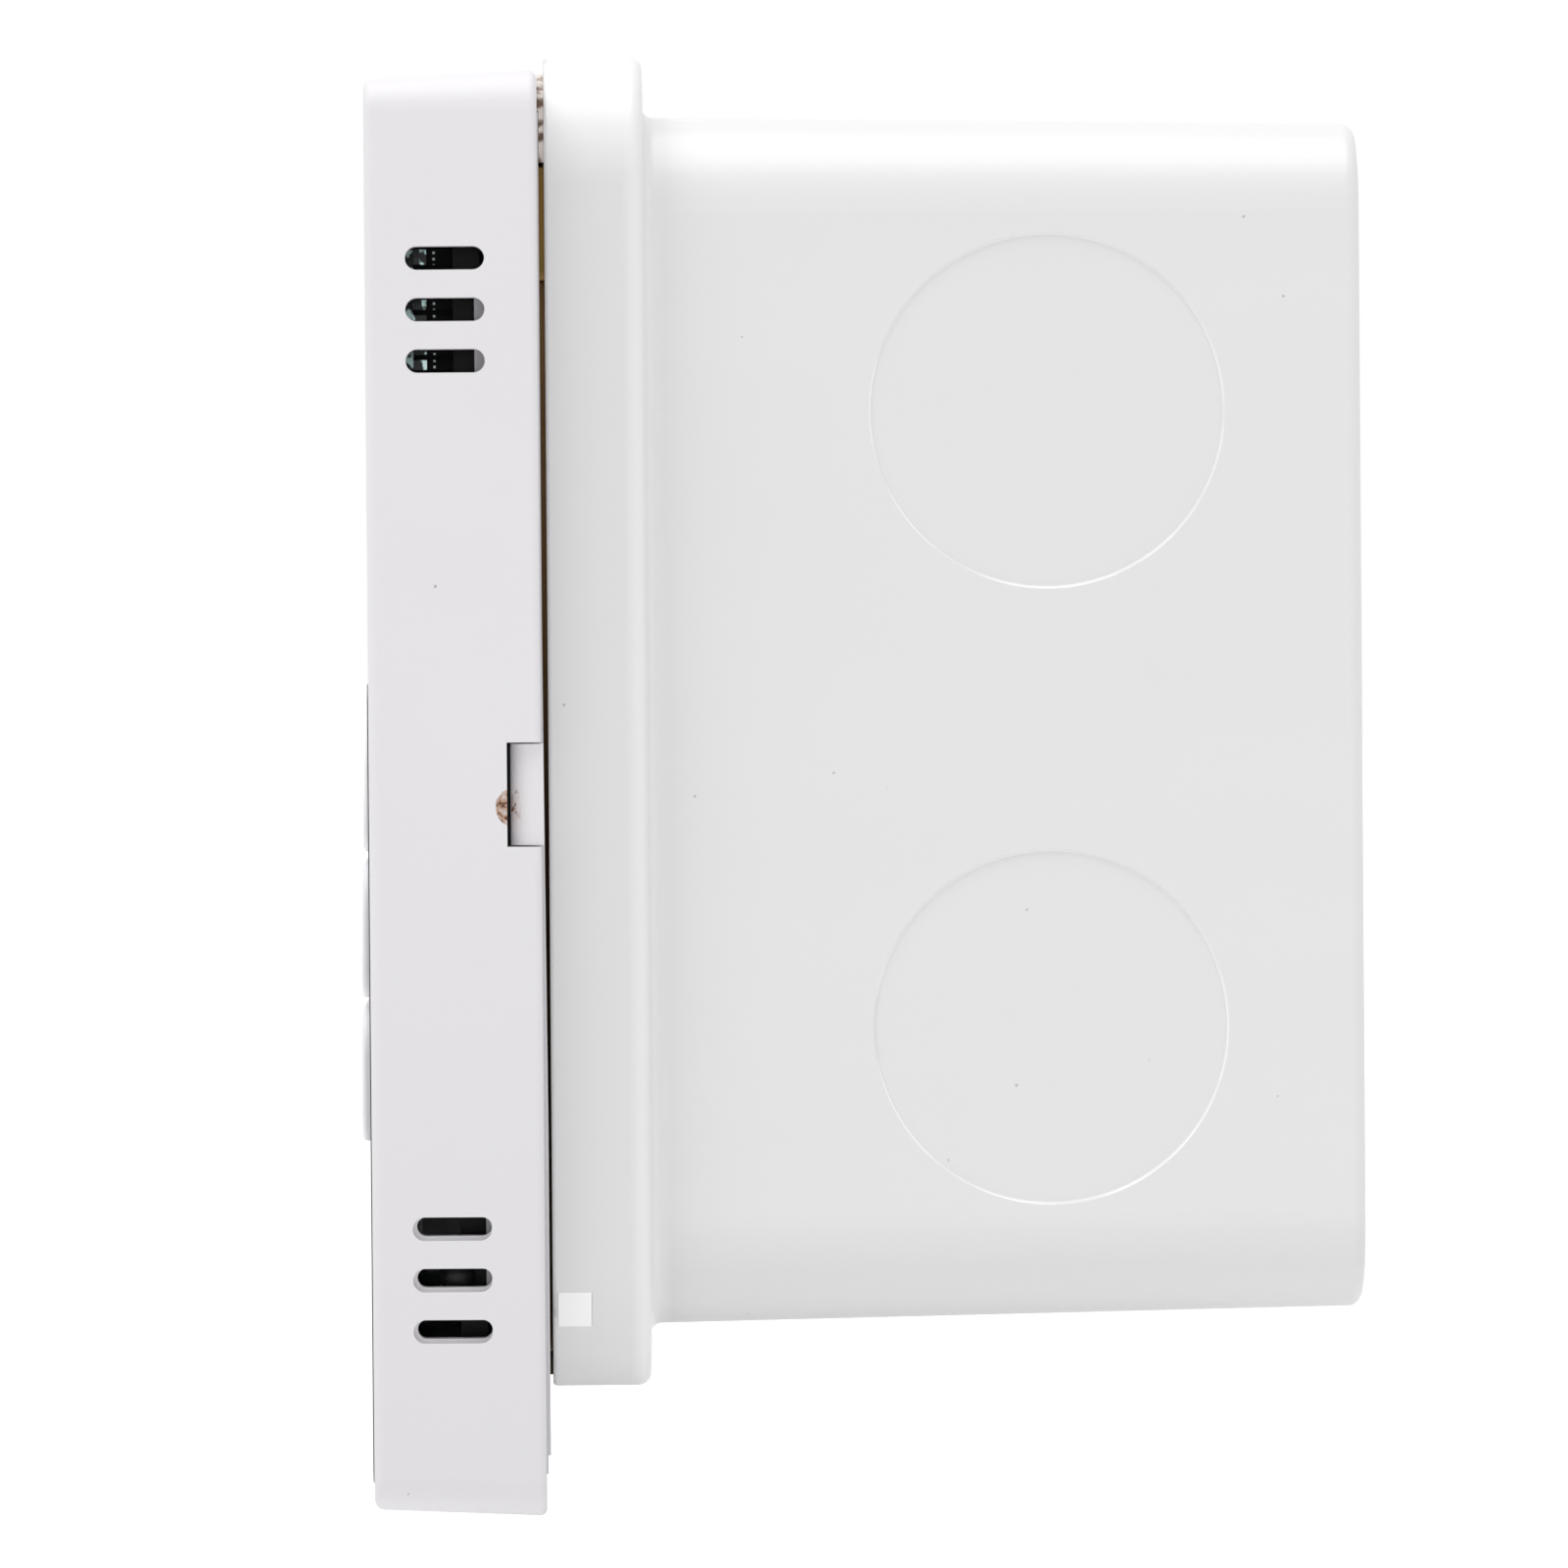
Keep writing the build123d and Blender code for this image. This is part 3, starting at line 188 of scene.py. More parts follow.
floor_drop = 20.0 * MM
floor_half = 6.0
floor_z = cad_box[0].z - floor_drop
floor_mesh = bpy.data.meshes.new("studio_floor")
bm = bmesh.new()
bmesh.ops.create_grid(bm, x_segments=1, y_segments=1, size=floor_half,
                      matrix=Matrix.Translation((0, 0, floor_z)))
bm.to_mesh(floor_mesh)
bm.free()
studio_floor = bpy.data.objects.new("studio_floor", floor_mesh)
scene.collection.objects.link(studio_floor)
paper, tree, shader, place = start_material("white_studio_paper", {"Roughness": 0.9, "IOR": 1.4})
fibre = add(tree, "TexNoise", {"Scale": per_mm(2.0)}, {"Vector": place.outputs["Object"]})
tone = add(tree, "Mix", {"data_type": "RGBA", 6: linear("F8F8F8"), 7: linear("FBFBFB")},
           {0: fibre.outputs[0]})
tree.links.new(tone.outputs[2], shader.inputs["Base Color"])
floor_mesh.materials.append(paper)
print("floor at", round(floor_z / MM, 1), "mm")

# %% [markdown]
# ## White ABS with a spark texture
# The front and the back plate are moulded in ABS, in a mould whose faces were
# roughened by sparks. That gives a satin white with, here, a cool pink cast.
# The lower half is toned a little darker, a painted shade, and stray dust specks
# are moulded in. The specks could be small discs, but then they would stand proud.
# So they are a mask: the few centres of Voronoi cells that happen to lie in the
# surface.

# %% Satin white ABS
def specks(tree, place, spacing, width):
    """A mask of stray specks: the few cell centres that happen to lie in the surface."""
    cells = add(tree, "TexVoronoi", {"Scale": per_mm(spacing)}, {"Vector": place.outputs["Object"]})
    reach = width / 2 / spacing
    mask = add(tree, "MapRange", {"From Min": reach, "From Max": reach * 0.6},
               {0: cells.outputs["Distance"]})
    return mask.outputs[0]


SPECK = 0.22
abs_white, tree, shader, place = start_material("spark_textured_white_abs", {"IOR": 1.54})
split = add(tree, "SeparateXYZ", None, {0: place.outputs["Object"]})
tone = add(tree, "TexNoise", {"Scale": per_mm(14), "Detail": 3.0}, {"Vector": place.outputs["Object"]})
base = add(tree, "Mix", {"data_type": "RGBA", 6: linear("E2E0E2"), 7: linear("E6E4E6")},
           {0: tone.outputs[0]})
# painted shade: the white is toned darker towards the bottom
low_shade = add(tree, "MapRange", {"From Min": 2.0 * MM, "From Max": -45.0 * MM}, {0: split.outputs["Z"]})
base = add(tree, "Mix", {"data_type": "RGBA", 7: linear("DEDCDE")},
           {0: low_shade.outputs[0], 6: base.outputs[2]})
dust = specks(tree, place, 4.5, SPECK)
base = add(tree, "Mix", {"data_type": "RGBA", 7: linear("ADA6A0")}, {0: dust, 6: base.outputs[2]})
print(abs_white.name, len(tree.nodes), "nodes so far")

# %% [markdown]
# ## The chewed notch
# Where the front is prised off with a screwdriver, the edge by the notch is
# chewed: tan inside the scoop, with dark crumbs, and a few crumbs on the tab
# beside it. The slit between the two is toned near black, a painted shade. A
# painted stain could be a texture of its own, but the distance from one point on
# the edge, broken up by noise, does the same in a few nodes.

# %% Stain and painted shade at the notch
scoop_centre = (42.6 * MM, -50.95 * MM, -4.95 * MM)
scoop_radius = 1.25 * MM
notch_y = -51.4 * MM
notch_z = -4.2 * MM
notch_length = 6.2 * MM
slit = 0.18 * MM
far = add(tree, "VectorMath", {"operation": "DISTANCE", 1: scoop_centre}, {0: place.outputs["Object"]})
near = add(tree, "MapRange", {"From Min": scoop_radius, "From Max": scoop_radius * 0.9},
           {0: far.outputs["Value"]})
on_cover = add(tree, "MapRange", {"From Min": notch_y, "From Max": notch_y - 0.05 * MM},
               {0: split.outputs["Y"]})
on_tab = add(tree, "MapRange", {"From Min": notch_y + 0.8 * MM, "From Max": notch_y + 0.3 * MM},
             {0: split.outputs["Y"]})
crumbs = add(tree, "TexNoise", {"Scale": per_mm(0.35), "Detail": 4.0}, {"Vector": place.outputs["Object"]})
stains = ((0.30, 0.44, "D2B29B", on_cover), (0.56, 0.64, "5E3D2C", on_cover), (0.50, 0.62, "7A523C", on_tab))
for low, high, brown, amount in stains:
    ragged = add(tree, "MapRange", {"From Min": low, "From Max": high}, {0: crumbs.outputs[0]})
    stain = add(tree, "Math", {"operation": "MULTIPLY"}, {0: near.outputs[0], 1: ragged.outputs[0]})
    stain = add(tree, "Math", {"operation": "MULTIPLY"}, {0: stain.outputs[0], 1: amount.outputs[0]})
    base = add(tree, "Mix", {"data_type": "RGBA", 7: linear(brown)},
               {0: stain.outputs[0], 6: base.outputs[2]})
# painted shade: the slit beside the tab is toned near black
slit_shade = add(tree, "Math", {"operation": "COMPARE", 1: notch_y + slit / 3, 2: slit * 0.55},
           {0: split.outputs["Y"]})
beside = add(tree, "Math", {"operation": "COMPARE", 1: notch_z, 2: notch_length * 0.495},
             {0: split.outputs["Z"]})
slit_shade = add(tree, "Math", {"operation": "MULTIPLY"}, {0: slit_shade.outputs[0], 1: beside.outputs[0]})
base = add(tree, "Mix", {"data_type": "RGBA", 7: linear("171412")},
           {0: slit_shade.outputs[0], 6: base.outputs[2]})
print("stain", round(scoop_radius / MM, 2), "mm round the scoop,", len(stains), "browns")

# %% [markdown]
# ## The spark grain
# A spark-roughened face is a sea of tiny craters. They are far too small to
# model, so a noise drives a bump. The real grain is about 0.05 mm wide, and is
# drawn at 0.3 mm so that it shows.

# %% Grain of the ABS
grain = add(tree, "TexNoise", {"Scale": per_mm(0.3), "Detail": 2.0}, {"Vector": place.outputs["Object"]})
bump = add(tree, "Bump", {"Strength": 0.12, "Distance": 0.03 * MM}, {"Height": grain.outputs[0]})
satin = add(tree, "MapRange", {"To Min": 0.46, "To Max": 0.56}, {0: tone.outputs[0]})
for source, socket in ((base.outputs[2], "Base Color"), (bump.outputs[0], "Normal"),
                       (satin.outputs[0], "Roughness")):
    tree.links.new(source, shader.inputs[socket])
print(abs_white.name, len(tree.nodes), "nodes")

# %% [markdown]
# ## Moulded PVC of the wall box
# The box is a cheap PVC moulding from a polished mould. Its white is neutral,
# and flow marks run along the box from the gate. The lowest edge is toned
# darker, a painted shade. The rim is a touch greyer than the walls, and paler
# on its top corners and along its rear edge, a painted highlight where these
# rounded edges catch the light. We could give the rim a material of its own,
# but the CAD mesh is one piece, so its position tells it from the walls.

# %% Glossy white PVC
box_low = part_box("wall_box")[0]
rim_depth = 5.92 * MM
rim_back_y = box_low.y + rim_depth
pvc_white, tree, shader, place = start_material("glossy_moulded_white_pvc", {"IOR": 1.53})
split = add(tree, "SeparateXYZ", None, {0: place.outputs["Object"]})
along = add(tree, "Mapping", {"Scale": (1.0, 0.25, 1.0)}, {"Vector": place.outputs["Object"]})
flow = add(tree, "TexNoise", {"Scale": per_mm(7), "Detail": 4.0}, {"Vector": along.outputs[0]})
base = add(tree, "Mix", {"data_type": "RGBA", 6: linear("E3E3E3"), 7: linear("E6E6E6")},
           {0: flow.outputs[0]})
# painted shade: the lowest edge is toned darker
low_shade = add(tree, "MapRange", {"From Min": -29.5 * MM, "From Max": -33.0 * MM}, {0: split.outputs["Z"]})
base = add(tree, "Mix", {"data_type": "RGBA", 7: linear("DDDDDD")},
           {0: low_shade.outputs[0], 6: base.outputs[2]})
on_rim = add(tree, "MapRange", {"From Min": rim_back_y + 0.5 * MM, "From Max": rim_back_y - 0.5 * MM},
             {0: split.outputs["Y"]})
# painted highlight: the rim's top corners are toned paler
high = add(tree, "MapRange", {"From Min": 32.0 * MM, "From Max": 34.8 * MM}, {0: split.outputs["Z"]})
rim = add(tree, "Mix", {"data_type": "RGBA", 6: linear("DFDFDF"), 7: linear("EAEAEA")},
          {0: high.outputs[0]})
base = add(tree, "Mix", {"data_type": "RGBA"},
           {0: on_rim.outputs[0], 6: base.outputs[2], 7: rim.outputs[2]})
# painted highlight: a pale band along the rim's rear edge
off = add(tree, "Math", {"operation": "SUBTRACT", 1: rim_back_y}, {0: split.outputs["Y"]})
off = add(tree, "Math", {"operation": "ABSOLUTE"}, {0: off.outputs[0]})
edge_highlight = add(tree, "MapRange", {"From Min": 1.3 * MM, "From Max": 0.3 * MM}, {0: off.outputs[0]})
base = add(tree, "Mix", {"data_type": "RGBA", 7: linear("EDEDED")},
           {0: edge_highlight.outputs[0], 6: base.outputs[2]})
dust = specks(tree, place, 4.0, SPECK)
base = add(tree, "Mix", {"data_type": "RGBA", 7: linear("BBB8B5")}, {0: dust, 6: base.outputs[2]})
print("rim from y", round(box_low.y / MM, 2), "to", round(rim_back_y / MM, 2), "mm")

# %% [markdown]
# ## White rings round the knockouts
# A knockout hangs in the wall by a thin web, which stretches as the box leaves
# the mould, and stretched PVC turns white. The white ring is also a painted
# highlight on the lit lower edge of each groove, so it fades out along the top.
# The grooves are in the mesh already, so only the whitening and the painted
# highlight are added. The box is the same on all sides: with the signs of the
# position dropped, the distance from two points finds eight rings.

# %% Knockout rings
knockout_radius = 10.64 * MM
knockout_spacing = 37.0 * MM
knockout_places = ((36.07 * MM, 18.9 * MM, 18.5 * MM), (18.5 * MM, 18.9 * MM, 36.07 * MM))
folded = add(tree, "VectorMath", {"operation": "ABSOLUTE"}, {0: place.outputs["Object"]})
rings = []
for middle in knockout_places:
    rings.append(add(tree, "VectorMath", {"operation": "DISTANCE", 1: middle}, {0: folded.outputs[0]}))
ring = add(tree, "Math", {"operation": "MINIMUM"},
           {0: rings[0].outputs["Value"], 1: rings[1].outputs["Value"]})
ring = add(tree, "Math", {"operation": "SUBTRACT", 1: knockout_radius}, {0: ring.outputs[0]})
ring = add(tree, "Math", {"operation": "ABSOLUTE"}, {0: ring.outputs[0]})
ring = add(tree, "MapRange", {"From Min": 0.07 * MM, "From Max": 0.03 * MM}, {0: ring.outputs[0]})
# painted highlight: the ring fades out along the top of each knockout, where the groove's edge is in shade
height = add(tree, "Math", {"operation": "WRAP", 1: knockout_spacing, 2: 0.0}, {0: split.outputs["Z"]})
top = knockout_spacing / 2 + knockout_radius
below = add(tree, "MapRange", {"From Min": top - 3.0 * MM, "From Max": top - 8.0 * MM, "To Max": 0.75},
            {0: height.outputs[0]})
breaks = add(tree, "TexNoise", {"Scale": per_mm(7), "Detail": 3.0}, {"Vector": place.outputs["Object"]})
breaks = add(tree, "MapRange", {"From Min": 0.36, "From Max": 0.52}, {0: breaks.outputs[0]})
for amount in (below, breaks):
    ring = add(tree, "Math", {"operation": "MULTIPLY"}, {0: ring.outputs[0], 1: amount.outputs[0]})
base = add(tree, "Mix", {"data_type": "RGBA", 7: linear("FFFFFF")},
           {0: ring.outputs[0], 6: base.outputs[2]})
print("rings of radius", round(knockout_radius / MM, 2), "mm")

# %% [markdown]
# ## Uneven walls
# The box is glossier than the front, and its walls sank a little as they cooled,
# so that the studio's reflection wavers. Moving the mesh would give that as
# well, but it would change the sizes, so a broad bump does it.

# %% Shine of the PVC
uneven = add(tree, "TexNoise", {"Scale": per_mm(9), "Detail": 1.0}, {"Vector": place.outputs["Object"]})
bump = add(tree, "Bump", {"Strength": 0.15, "Distance": 0.12 * MM}, {"Height": uneven.outputs[0]})
gloss = add(tree, "MapRange", {"To Min": 0.28, "To Max": 0.40}, {0: flow.outputs[0]})
for source, socket in ((base.outputs[2], "Base Color"), (bump.outputs[0], "Normal"),
                       (gloss.outputs[0], "Roughness")):
    tree.links.new(source, shader.inputs[socket])
print(pvc_white.name, len(tree.nodes), "nodes")

# %% [markdown]
# ## The golden frame in the gap
# Between front and box sits a steel frame, zinc plated and then dipped in a
# yellow chromate bath. The film is thin and uneven, so the metal shows gold,
# brown and olive clouds. Downwards it is toned browner and darker, a painted
# shade deeper in the gap. One flat gold would look painted. A metal keeps the
# default IOR: its colour is its base colour, and the clouds only change that
# colour and the roughness.

# %% Yellow chromate on zinc plated steel
gold_steel, tree, shader, place = start_material("yellow_chromate_steel", {"Metallic": 1.0})
cloud = add(tree, "TexNoise", {"Scale": per_mm(11), "Detail": 3.0}, {"Vector": place.outputs["Object"]})
tint = add(tree, "Mix", {"data_type": "RGBA", 6: linear("5E4522"), 7: linear("8E7040")},
           {0: cloud.outputs[0]})
patch = add(tree, "TexNoise", {"Scale": per_mm(5), "Detail": 2.0}, {"Vector": place.outputs["Object"]})
worn = add(tree, "MapRange", {"From Min": 0.52, "From Max": 0.75}, {0: patch.outputs[0]})
tint = add(tree, "Mix", {"data_type": "RGBA", 7: linear("665C36")},
           {0: worn.outputs[0], 6: tint.outputs[2]})
split = add(tree, "SeparateXYZ", None, {0: place.outputs["Object"]})
# painted shade: browner and darker downwards, deeper in the gap
for start, end, brown in ((27.0, 26.2, "9C7A54"), (24.0, 10.0, "7A5C3E"), (8.0, -6.0, "3A2A1E")):
    low = add(tree, "MapRange", {"From Min": start * MM, "From Max": end * MM}, {0: split.outputs["Z"]})
    tint = add(tree, "Mix", {"data_type": "RGBA", 7: linear(brown)},
               {0: low.outputs[0], 6: tint.outputs[2]})
rough = add(tree, "MapRange", {"To Min": 0.30, "To Max": 0.50}, {0: cloud.outputs[0]})
tree.links.new(tint.outputs[2], shader.inputs["Base Color"])
tree.links.new(rough.outputs[0], shader.inputs["Roughness"])
print(gold_steel.name, len(tree.nodes), "nodes")

# %% [markdown]
# ## The foam strip above the frame
# Foam tape seals the gap along the top of the rim. Squeezed between front and
# box it has crumpled, so pale skin and creases toned brown as painted shade
# alternate every millimetre or so. The strip is 0.4 mm thick, too thin for folds
# in the mesh, so one distorted noise gives the creases their painted shade and
# their depth.

# %% Crumpled foam tape
foam, tree, shader, place = start_material("crumpled_foam_tape", {"IOR": 1.5, "Roughness": 0.8})
fold = add(tree, "TexNoise", {"Scale": per_mm(1.6), "Detail": 3.0, "Distortion": 1.2},
           {"Vector": place.outputs["Object"]})
# painted shade: the creases are toned brown
crease_shade = add(tree, "MapRange", {"From Min": 0.40, "From Max": 0.56}, {0: fold.outputs[0]})
tint = add(tree, "Mix", {"data_type": "RGBA", 6: linear("6A5242"), 7: linear("E4DBD4")},
           {0: crease_shade.outputs[0]})
bump = add(tree, "Bump", {"Strength": 0.6, "Distance": 0.15 * MM}, {"Height": fold.outputs[0]})
tree.links.new(tint.outputs[2], shader.inputs["Base Color"])
tree.links.new(bump.outputs[0], shader.inputs["Normal"])
print(foam.name, len(tree.nodes), "nodes")

# %% [markdown]
# ## Acrylic: the dark key panel and the clear lens
# Round the keys lies a thin panel of smoked acrylic, polished, and above it a
# clear lens is let into the white front, over the display. Acrylic bends light
# by 1.49. The panel is so dark that it needs no transparency: a near black with
# a faint warm cloud and a sharp reflection is what the eye gets. The lens lets
# light through, so it does need it.

# %% Smoked and clear acrylic
smoked, tree, shader, place = start_material("smoked_polished_acrylic", {"IOR": 1.49})
haze = add(tree, "TexNoise", {"Scale": per_mm(20), "Detail": 2.0}, {"Vector": place.outputs["Object"]})
tint = add(tree, "Mix", {"data_type": "RGBA", 6: linear("202226"), 7: linear("2A2B2E")},
           {0: haze.outputs[0]})
wipe = add(tree, "MapRange", {"To Min": 0.06, "To Max": 0.13}, {0: haze.outputs[0]})
tree.links.new(tint.outputs[2], shader.inputs["Base Color"])
tree.links.new(wipe.outputs[0], shader.inputs["Roughness"])

clear, tree, shader, place = start_material(
    "clear_polished_acrylic", {"IOR": 1.49, "Transmission Weight": 1.0, "Base Color": linear("F4F8F8")})
haze = add(tree, "TexNoise", {"Scale": per_mm(15), "Detail": 2.0}, {"Vector": place.outputs["Object"]})
wipe = add(tree, "MapRange", {"To Min": 0.01, "To Max": 0.05}, {0: haze.outputs[0]})
tree.links.new(wipe.outputs[0], shader.inputs["Roughness"])
print(smoked.name, clear.name)

# %% [markdown]
# ## The display glass
# A liquid crystal display is two sheets of glass with a polariser on the face.
# From the front it is a grey green mirror-like film, and at its cut edge the
# glass is teal and chipped: that edge is what glints behind the upper vents.
# Face and edge could have a material each, but the object's own normal tells
# them apart, so one does for both.

# %% Display glass
lcd_grey, tree, shader, place = start_material("reflective_display_glass", {"IOR": 1.52})
facing = add(tree, "SeparateXYZ", None, {0: place.outputs["Normal"]})
face = add(tree, "Math", {"operation": "ABSOLUTE"}, {0: facing.outputs["Y"]})
film = add(tree, "TexNoise", {"Scale": per_mm(25), "Detail": 1.0}, {"Vector": place.outputs["Object"]})
front = add(tree, "Mix", {"data_type": "RGBA", 6: linear("9DAF9F"), 7: linear("A9B9A8")},
            {0: film.outputs[0]})
chips = add(tree, "TexNoise", {"Scale": per_mm(1.0), "Detail": 2.0}, {"Vector": place.outputs["Object"]})
glint = add(tree, "MapRange", {"From Min": 0.51, "From Max": 0.57}, {0: chips.outputs[0]})
edge = add(tree, "Mix", {"data_type": "RGBA", 6: linear("12242A"), 7: linear("D9F6F5")},
           {0: glint.outputs[0]})
side = add(tree, "Math", {"operation": "SUBTRACT", 0: 1.0}, {1: face.outputs[0]})
mirror = add(tree, "Math", {"operation": "MULTIPLY"}, {0: glint.outputs[0], 1: side.outputs[0]})
colour = add(tree, "Mix", {"data_type": "RGBA"},
             {0: face.outputs[0], 6: edge.outputs[2], 7: front.outputs[2]})
gloss = add(tree, "MapRange", {"To Min": 0.18, "To Max": 0.30}, {0: film.outputs[0]})
for source, socket in ((colour.outputs[2], "Base Color"), (mirror.outputs[0], "Metallic"),
                       (gloss.outputs[0], "Roughness")):
    tree.links.new(source, shader.inputs[socket])
print(lcd_grey.name, len(tree.nodes), "nodes")

# %% [markdown]
# ## The light guide
# The light guide behind the glass is white acrylic with black tape round its
# edges, and the tape's near black also stands as painted shade inside the
# vents. The tape carries a row of fine silver marks, which show as dots behind
# the vents. They could be modelled, but they are foil, so a mask in the tape
# that turns it into metal is nearer to the real thing.

# %% Light guide
mark_step, mark_share, mark_width, mark_y = 0.38, 0.4, 0.14 * MM, -55.6 * MM
guide, tree, shader, place = start_material(
    "taped_white_light_guide", {"IOR": 1.49, "Specular IOR Level": 0.15})
facing = add(tree, "SeparateXYZ", None, {0: place.outputs["Normal"]})
face = add(tree, "Math", {"operation": "ABSOLUTE"}, {0: facing.outputs["Y"]})
film = add(tree, "TexNoise", {"Scale": per_mm(6), "Detail": 2.0}, {"Vector": place.outputs["Object"]})
# the near-black tape also stands as painted shade inside the vents
tape = add(tree, "Mix", {"data_type": "RGBA", 6: linear("0E1011"), 7: linear("16191A")},
           {0: film.outputs[0]})
split = add(tree, "SeparateXYZ", None, {0: place.outputs["Object"]})
step = add(tree, "Math", {"operation": "MULTIPLY", 1: per_mm(mark_step)}, {0: split.outputs["Z"]})
step = add(tree, "Math", {"operation": "FRACT"}, {0: step.outputs[0]})
mark = add(tree, "Math", {"operation": "LESS_THAN", 1: mark_share}, {0: step.outputs[0]})
off = add(tree, "Math", {"operation": "SUBTRACT", 1: mark_y}, {0: split.outputs["Y"]})
off = add(tree, "Math", {"operation": "ABSOLUTE"}, {0: off.outputs[0]})
row = add(tree, "Math", {"operation": "LESS_THAN", 1: mark_width / 2}, {0: off.outputs[0]})
mark = add(tree, "Math", {"operation": "MULTIPLY"}, {0: mark.outputs[0], 1: row.outputs[0]})
tape = add(tree, "Mix", {"data_type": "RGBA", 7: linear("E6EEEE")},
           {0: mark.outputs[0], 6: tape.outputs[2]})
colour = add(tree, "Mix", {"data_type": "RGBA", 7: linear("E8ECEA")},
             {0: face.outputs[0], 6: tape.outputs[2]})
gloss = add(tree, "MapRange", {"To Min": 0.35, "To Max": 0.50}, {0: film.outputs[0]})
for source, socket in ((colour.outputs[2], "Base Color"), (mark.outputs[0], "Metallic"),
                       (gloss.outputs[0], "Roughness")):
    tree.links.new(source, shader.inputs[socket])
print(guide.name, len(tree.nodes), "nodes")

# %% [markdown]
# ## Circuit boards
# A board is glass cloth in epoxy under green lacquer, and its copper tracks
# show as paler lines. Real tracks follow a drawing, and nobody can follow them
# here, so chance stands in for it: the board falls into squarish cells, and in
# each of them the tracks run up, run across, or melt into whole copper.

# %% Copper tracks
track_step, track_share, cell_size = 1.27, 0.38, 9.0
board, tree, shader, place = start_material(
    "lacquered_glass_epoxy_board", {"IOR": 1.55, "Roughness": 0.32, "Specular IOR Level": 0.15})
upright = add(tree, "Mapping", {"Rotation": (radians(90), 0, 0)}, {"Vector": place.outputs["Object"]})
cells = add(tree, "TexVoronoi", {
    "voronoi_dimensions": "2D", "distance": "CHEBYCHEV", "Scale": per_mm(cell_size), "Randomness": 0.75},
    {"Vector": upright.outputs[0]})
chance = add(tree, "SeparateColor", None, {0: cells.outputs["Color"]})
flat = add(tree, "SeparateXYZ", None, {0: upright.outputs[0]})
lines = []
for axis in ("X", "Y"):
    step = add(tree, "Math", {"operation": "MULTIPLY", 1: per_mm(track_step)}, {0: flat.outputs[axis]})
    step = add(tree, "Math", {"operation": "FRACT"}, {0: step.outputs[0]})
    lines.append(add(tree, "Math", {"operation": "LESS_THAN", 1: track_share}, {0: step.outputs[0]}))
across = add(tree, "Math", {"operation": "GREATER_THAN", 1: 0.5}, {0: chance.outputs[0]})
tracks = add(tree, "Mix", None, {0: across.outputs[0], 2: lines[0].outputs[0], 3: lines[1].outputs[0]})
whole = add(tree, "Math", {"operation": "GREATER_THAN", 1: 0.62}, {0: chance.outputs[1]})
tracks = add(tree, "Math", {"operation": "MAXIMUM"}, {0: tracks.outputs[0], 1: whole.outputs[0]})
green = add(tree, "Mix", {"data_type": "RGBA", 6: linear("103A26"), 7: linear("1B5233")},
            {0: tracks.outputs[0]})
print("tracks every", track_step, "mm")

# %% [markdown]
# ## Solder joints and sawn edges
# Solder joints show as dots of tin. A joint could be a small dome, but hundreds
# of domes would be heavy, so a second Voronoi pattern draws round dots and turns
# them into metal, and the normal keeps them off the edges. A sawn edge of bare
# epoxy would be tan, but the photograph is nearly black behind the vents, where
# such an edge shows, so the edges are toned nearly black, a painted shade.

# %% Lacquered circuit board
joint_spacing, joint_radius = 6.35, 0.5
facing = add(tree, "SeparateXYZ", None, {0: place.outputs["Normal"]})
face = add(tree, "Math", {"operation": "ABSOLUTE"}, {0: facing.outputs["Y"]})
joints = add(tree, "TexVoronoi", {
    "voronoi_dimensions": "2D", "Scale": per_mm(joint_spacing), "Randomness": 0.7},
    {"Vector": upright.outputs[0]})
tin = add(tree, "Math", {"operation": "LESS_THAN", 1: joint_radius / joint_spacing},
          {0: joints.outputs["Distance"]})
tin = add(tree, "Math", {"operation": "MULTIPLY"}, {0: tin.outputs[0], 1: face.outputs[0]})
# sawn edges toned nearly black, a painted shade
colour = add(tree, "Mix", {"data_type": "RGBA", 6: linear("100F0C")},
             {0: face.outputs[0], 7: green.outputs[2]})
colour = add(tree, "Mix", {"data_type": "RGBA", 7: linear("B9BEC2")},
             {0: tin.outputs[0], 6: colour.outputs[2]})
height = add(tree, "Math", {"operation": "ADD"}, {0: tracks.outputs[0], 1: tin.outputs[0]})
bump = add(tree, "Bump", {"Strength": 0.3, "Distance": 0.03 * MM}, {"Height": height.outputs[0]})
for source, socket in ((colour.outputs[2], "Base Color"), (tin.outputs[0], "Metallic"),
                       (bump.outputs[0], "Normal")):
    tree.links.new(source, shader.inputs[socket])
print(board.name, len(tree.nodes), "nodes")

# %% [markdown]
# ## The smaller finishes
# Screws, pins, component cases and terminals are mostly hidden, and are seen
# when the front is pulled off. Each is a plain moulding, casting or plating
# with slight clouding in colour and shine, so one function makes them all from
# a table: two tones, the size of the clouds in millimetres, how metallic and
# how rough the surface is, and its IOR.

# %% Plain mouldings, coats and platings
def clouded(name, dark, light, cloud_mm, metallic, roughness, ior):
    """A finish that drifts between two tones, a little rougher where it is lighter."""
    material, tree, shader, place = start_material(name, {"Metallic": metallic, "IOR": ior})
    cloud = add(tree, "TexNoise", {"Scale": per_mm(cloud_mm), "Detail": 3.0},
                {"Vector": place.outputs["Object"]})
    tone = add(tree, "Mix", {"data_type": "RGBA", 6: linear(dark), 7: linear(light)}, {0: cloud.outputs[0]})
    rough = add(tree, "MapRange", {"To Min": roughness * 0.8, "To Max": roughness * 1.2},
                {0: cloud.outputs[0]})
    bump = add(tree, "Bump", {"Strength": 0.2, "Distance": 0.02 * MM}, {"Height": cloud.outputs[0]})
    for source, socket in ((tone.outputs[2], "Base Color"), (rough.outputs[0], "Roughness"),
                           (bump.outputs[0], "Normal")):
        tree.links.new(source, shader.inputs[socket])
    return material


print("one maker for every small finish")

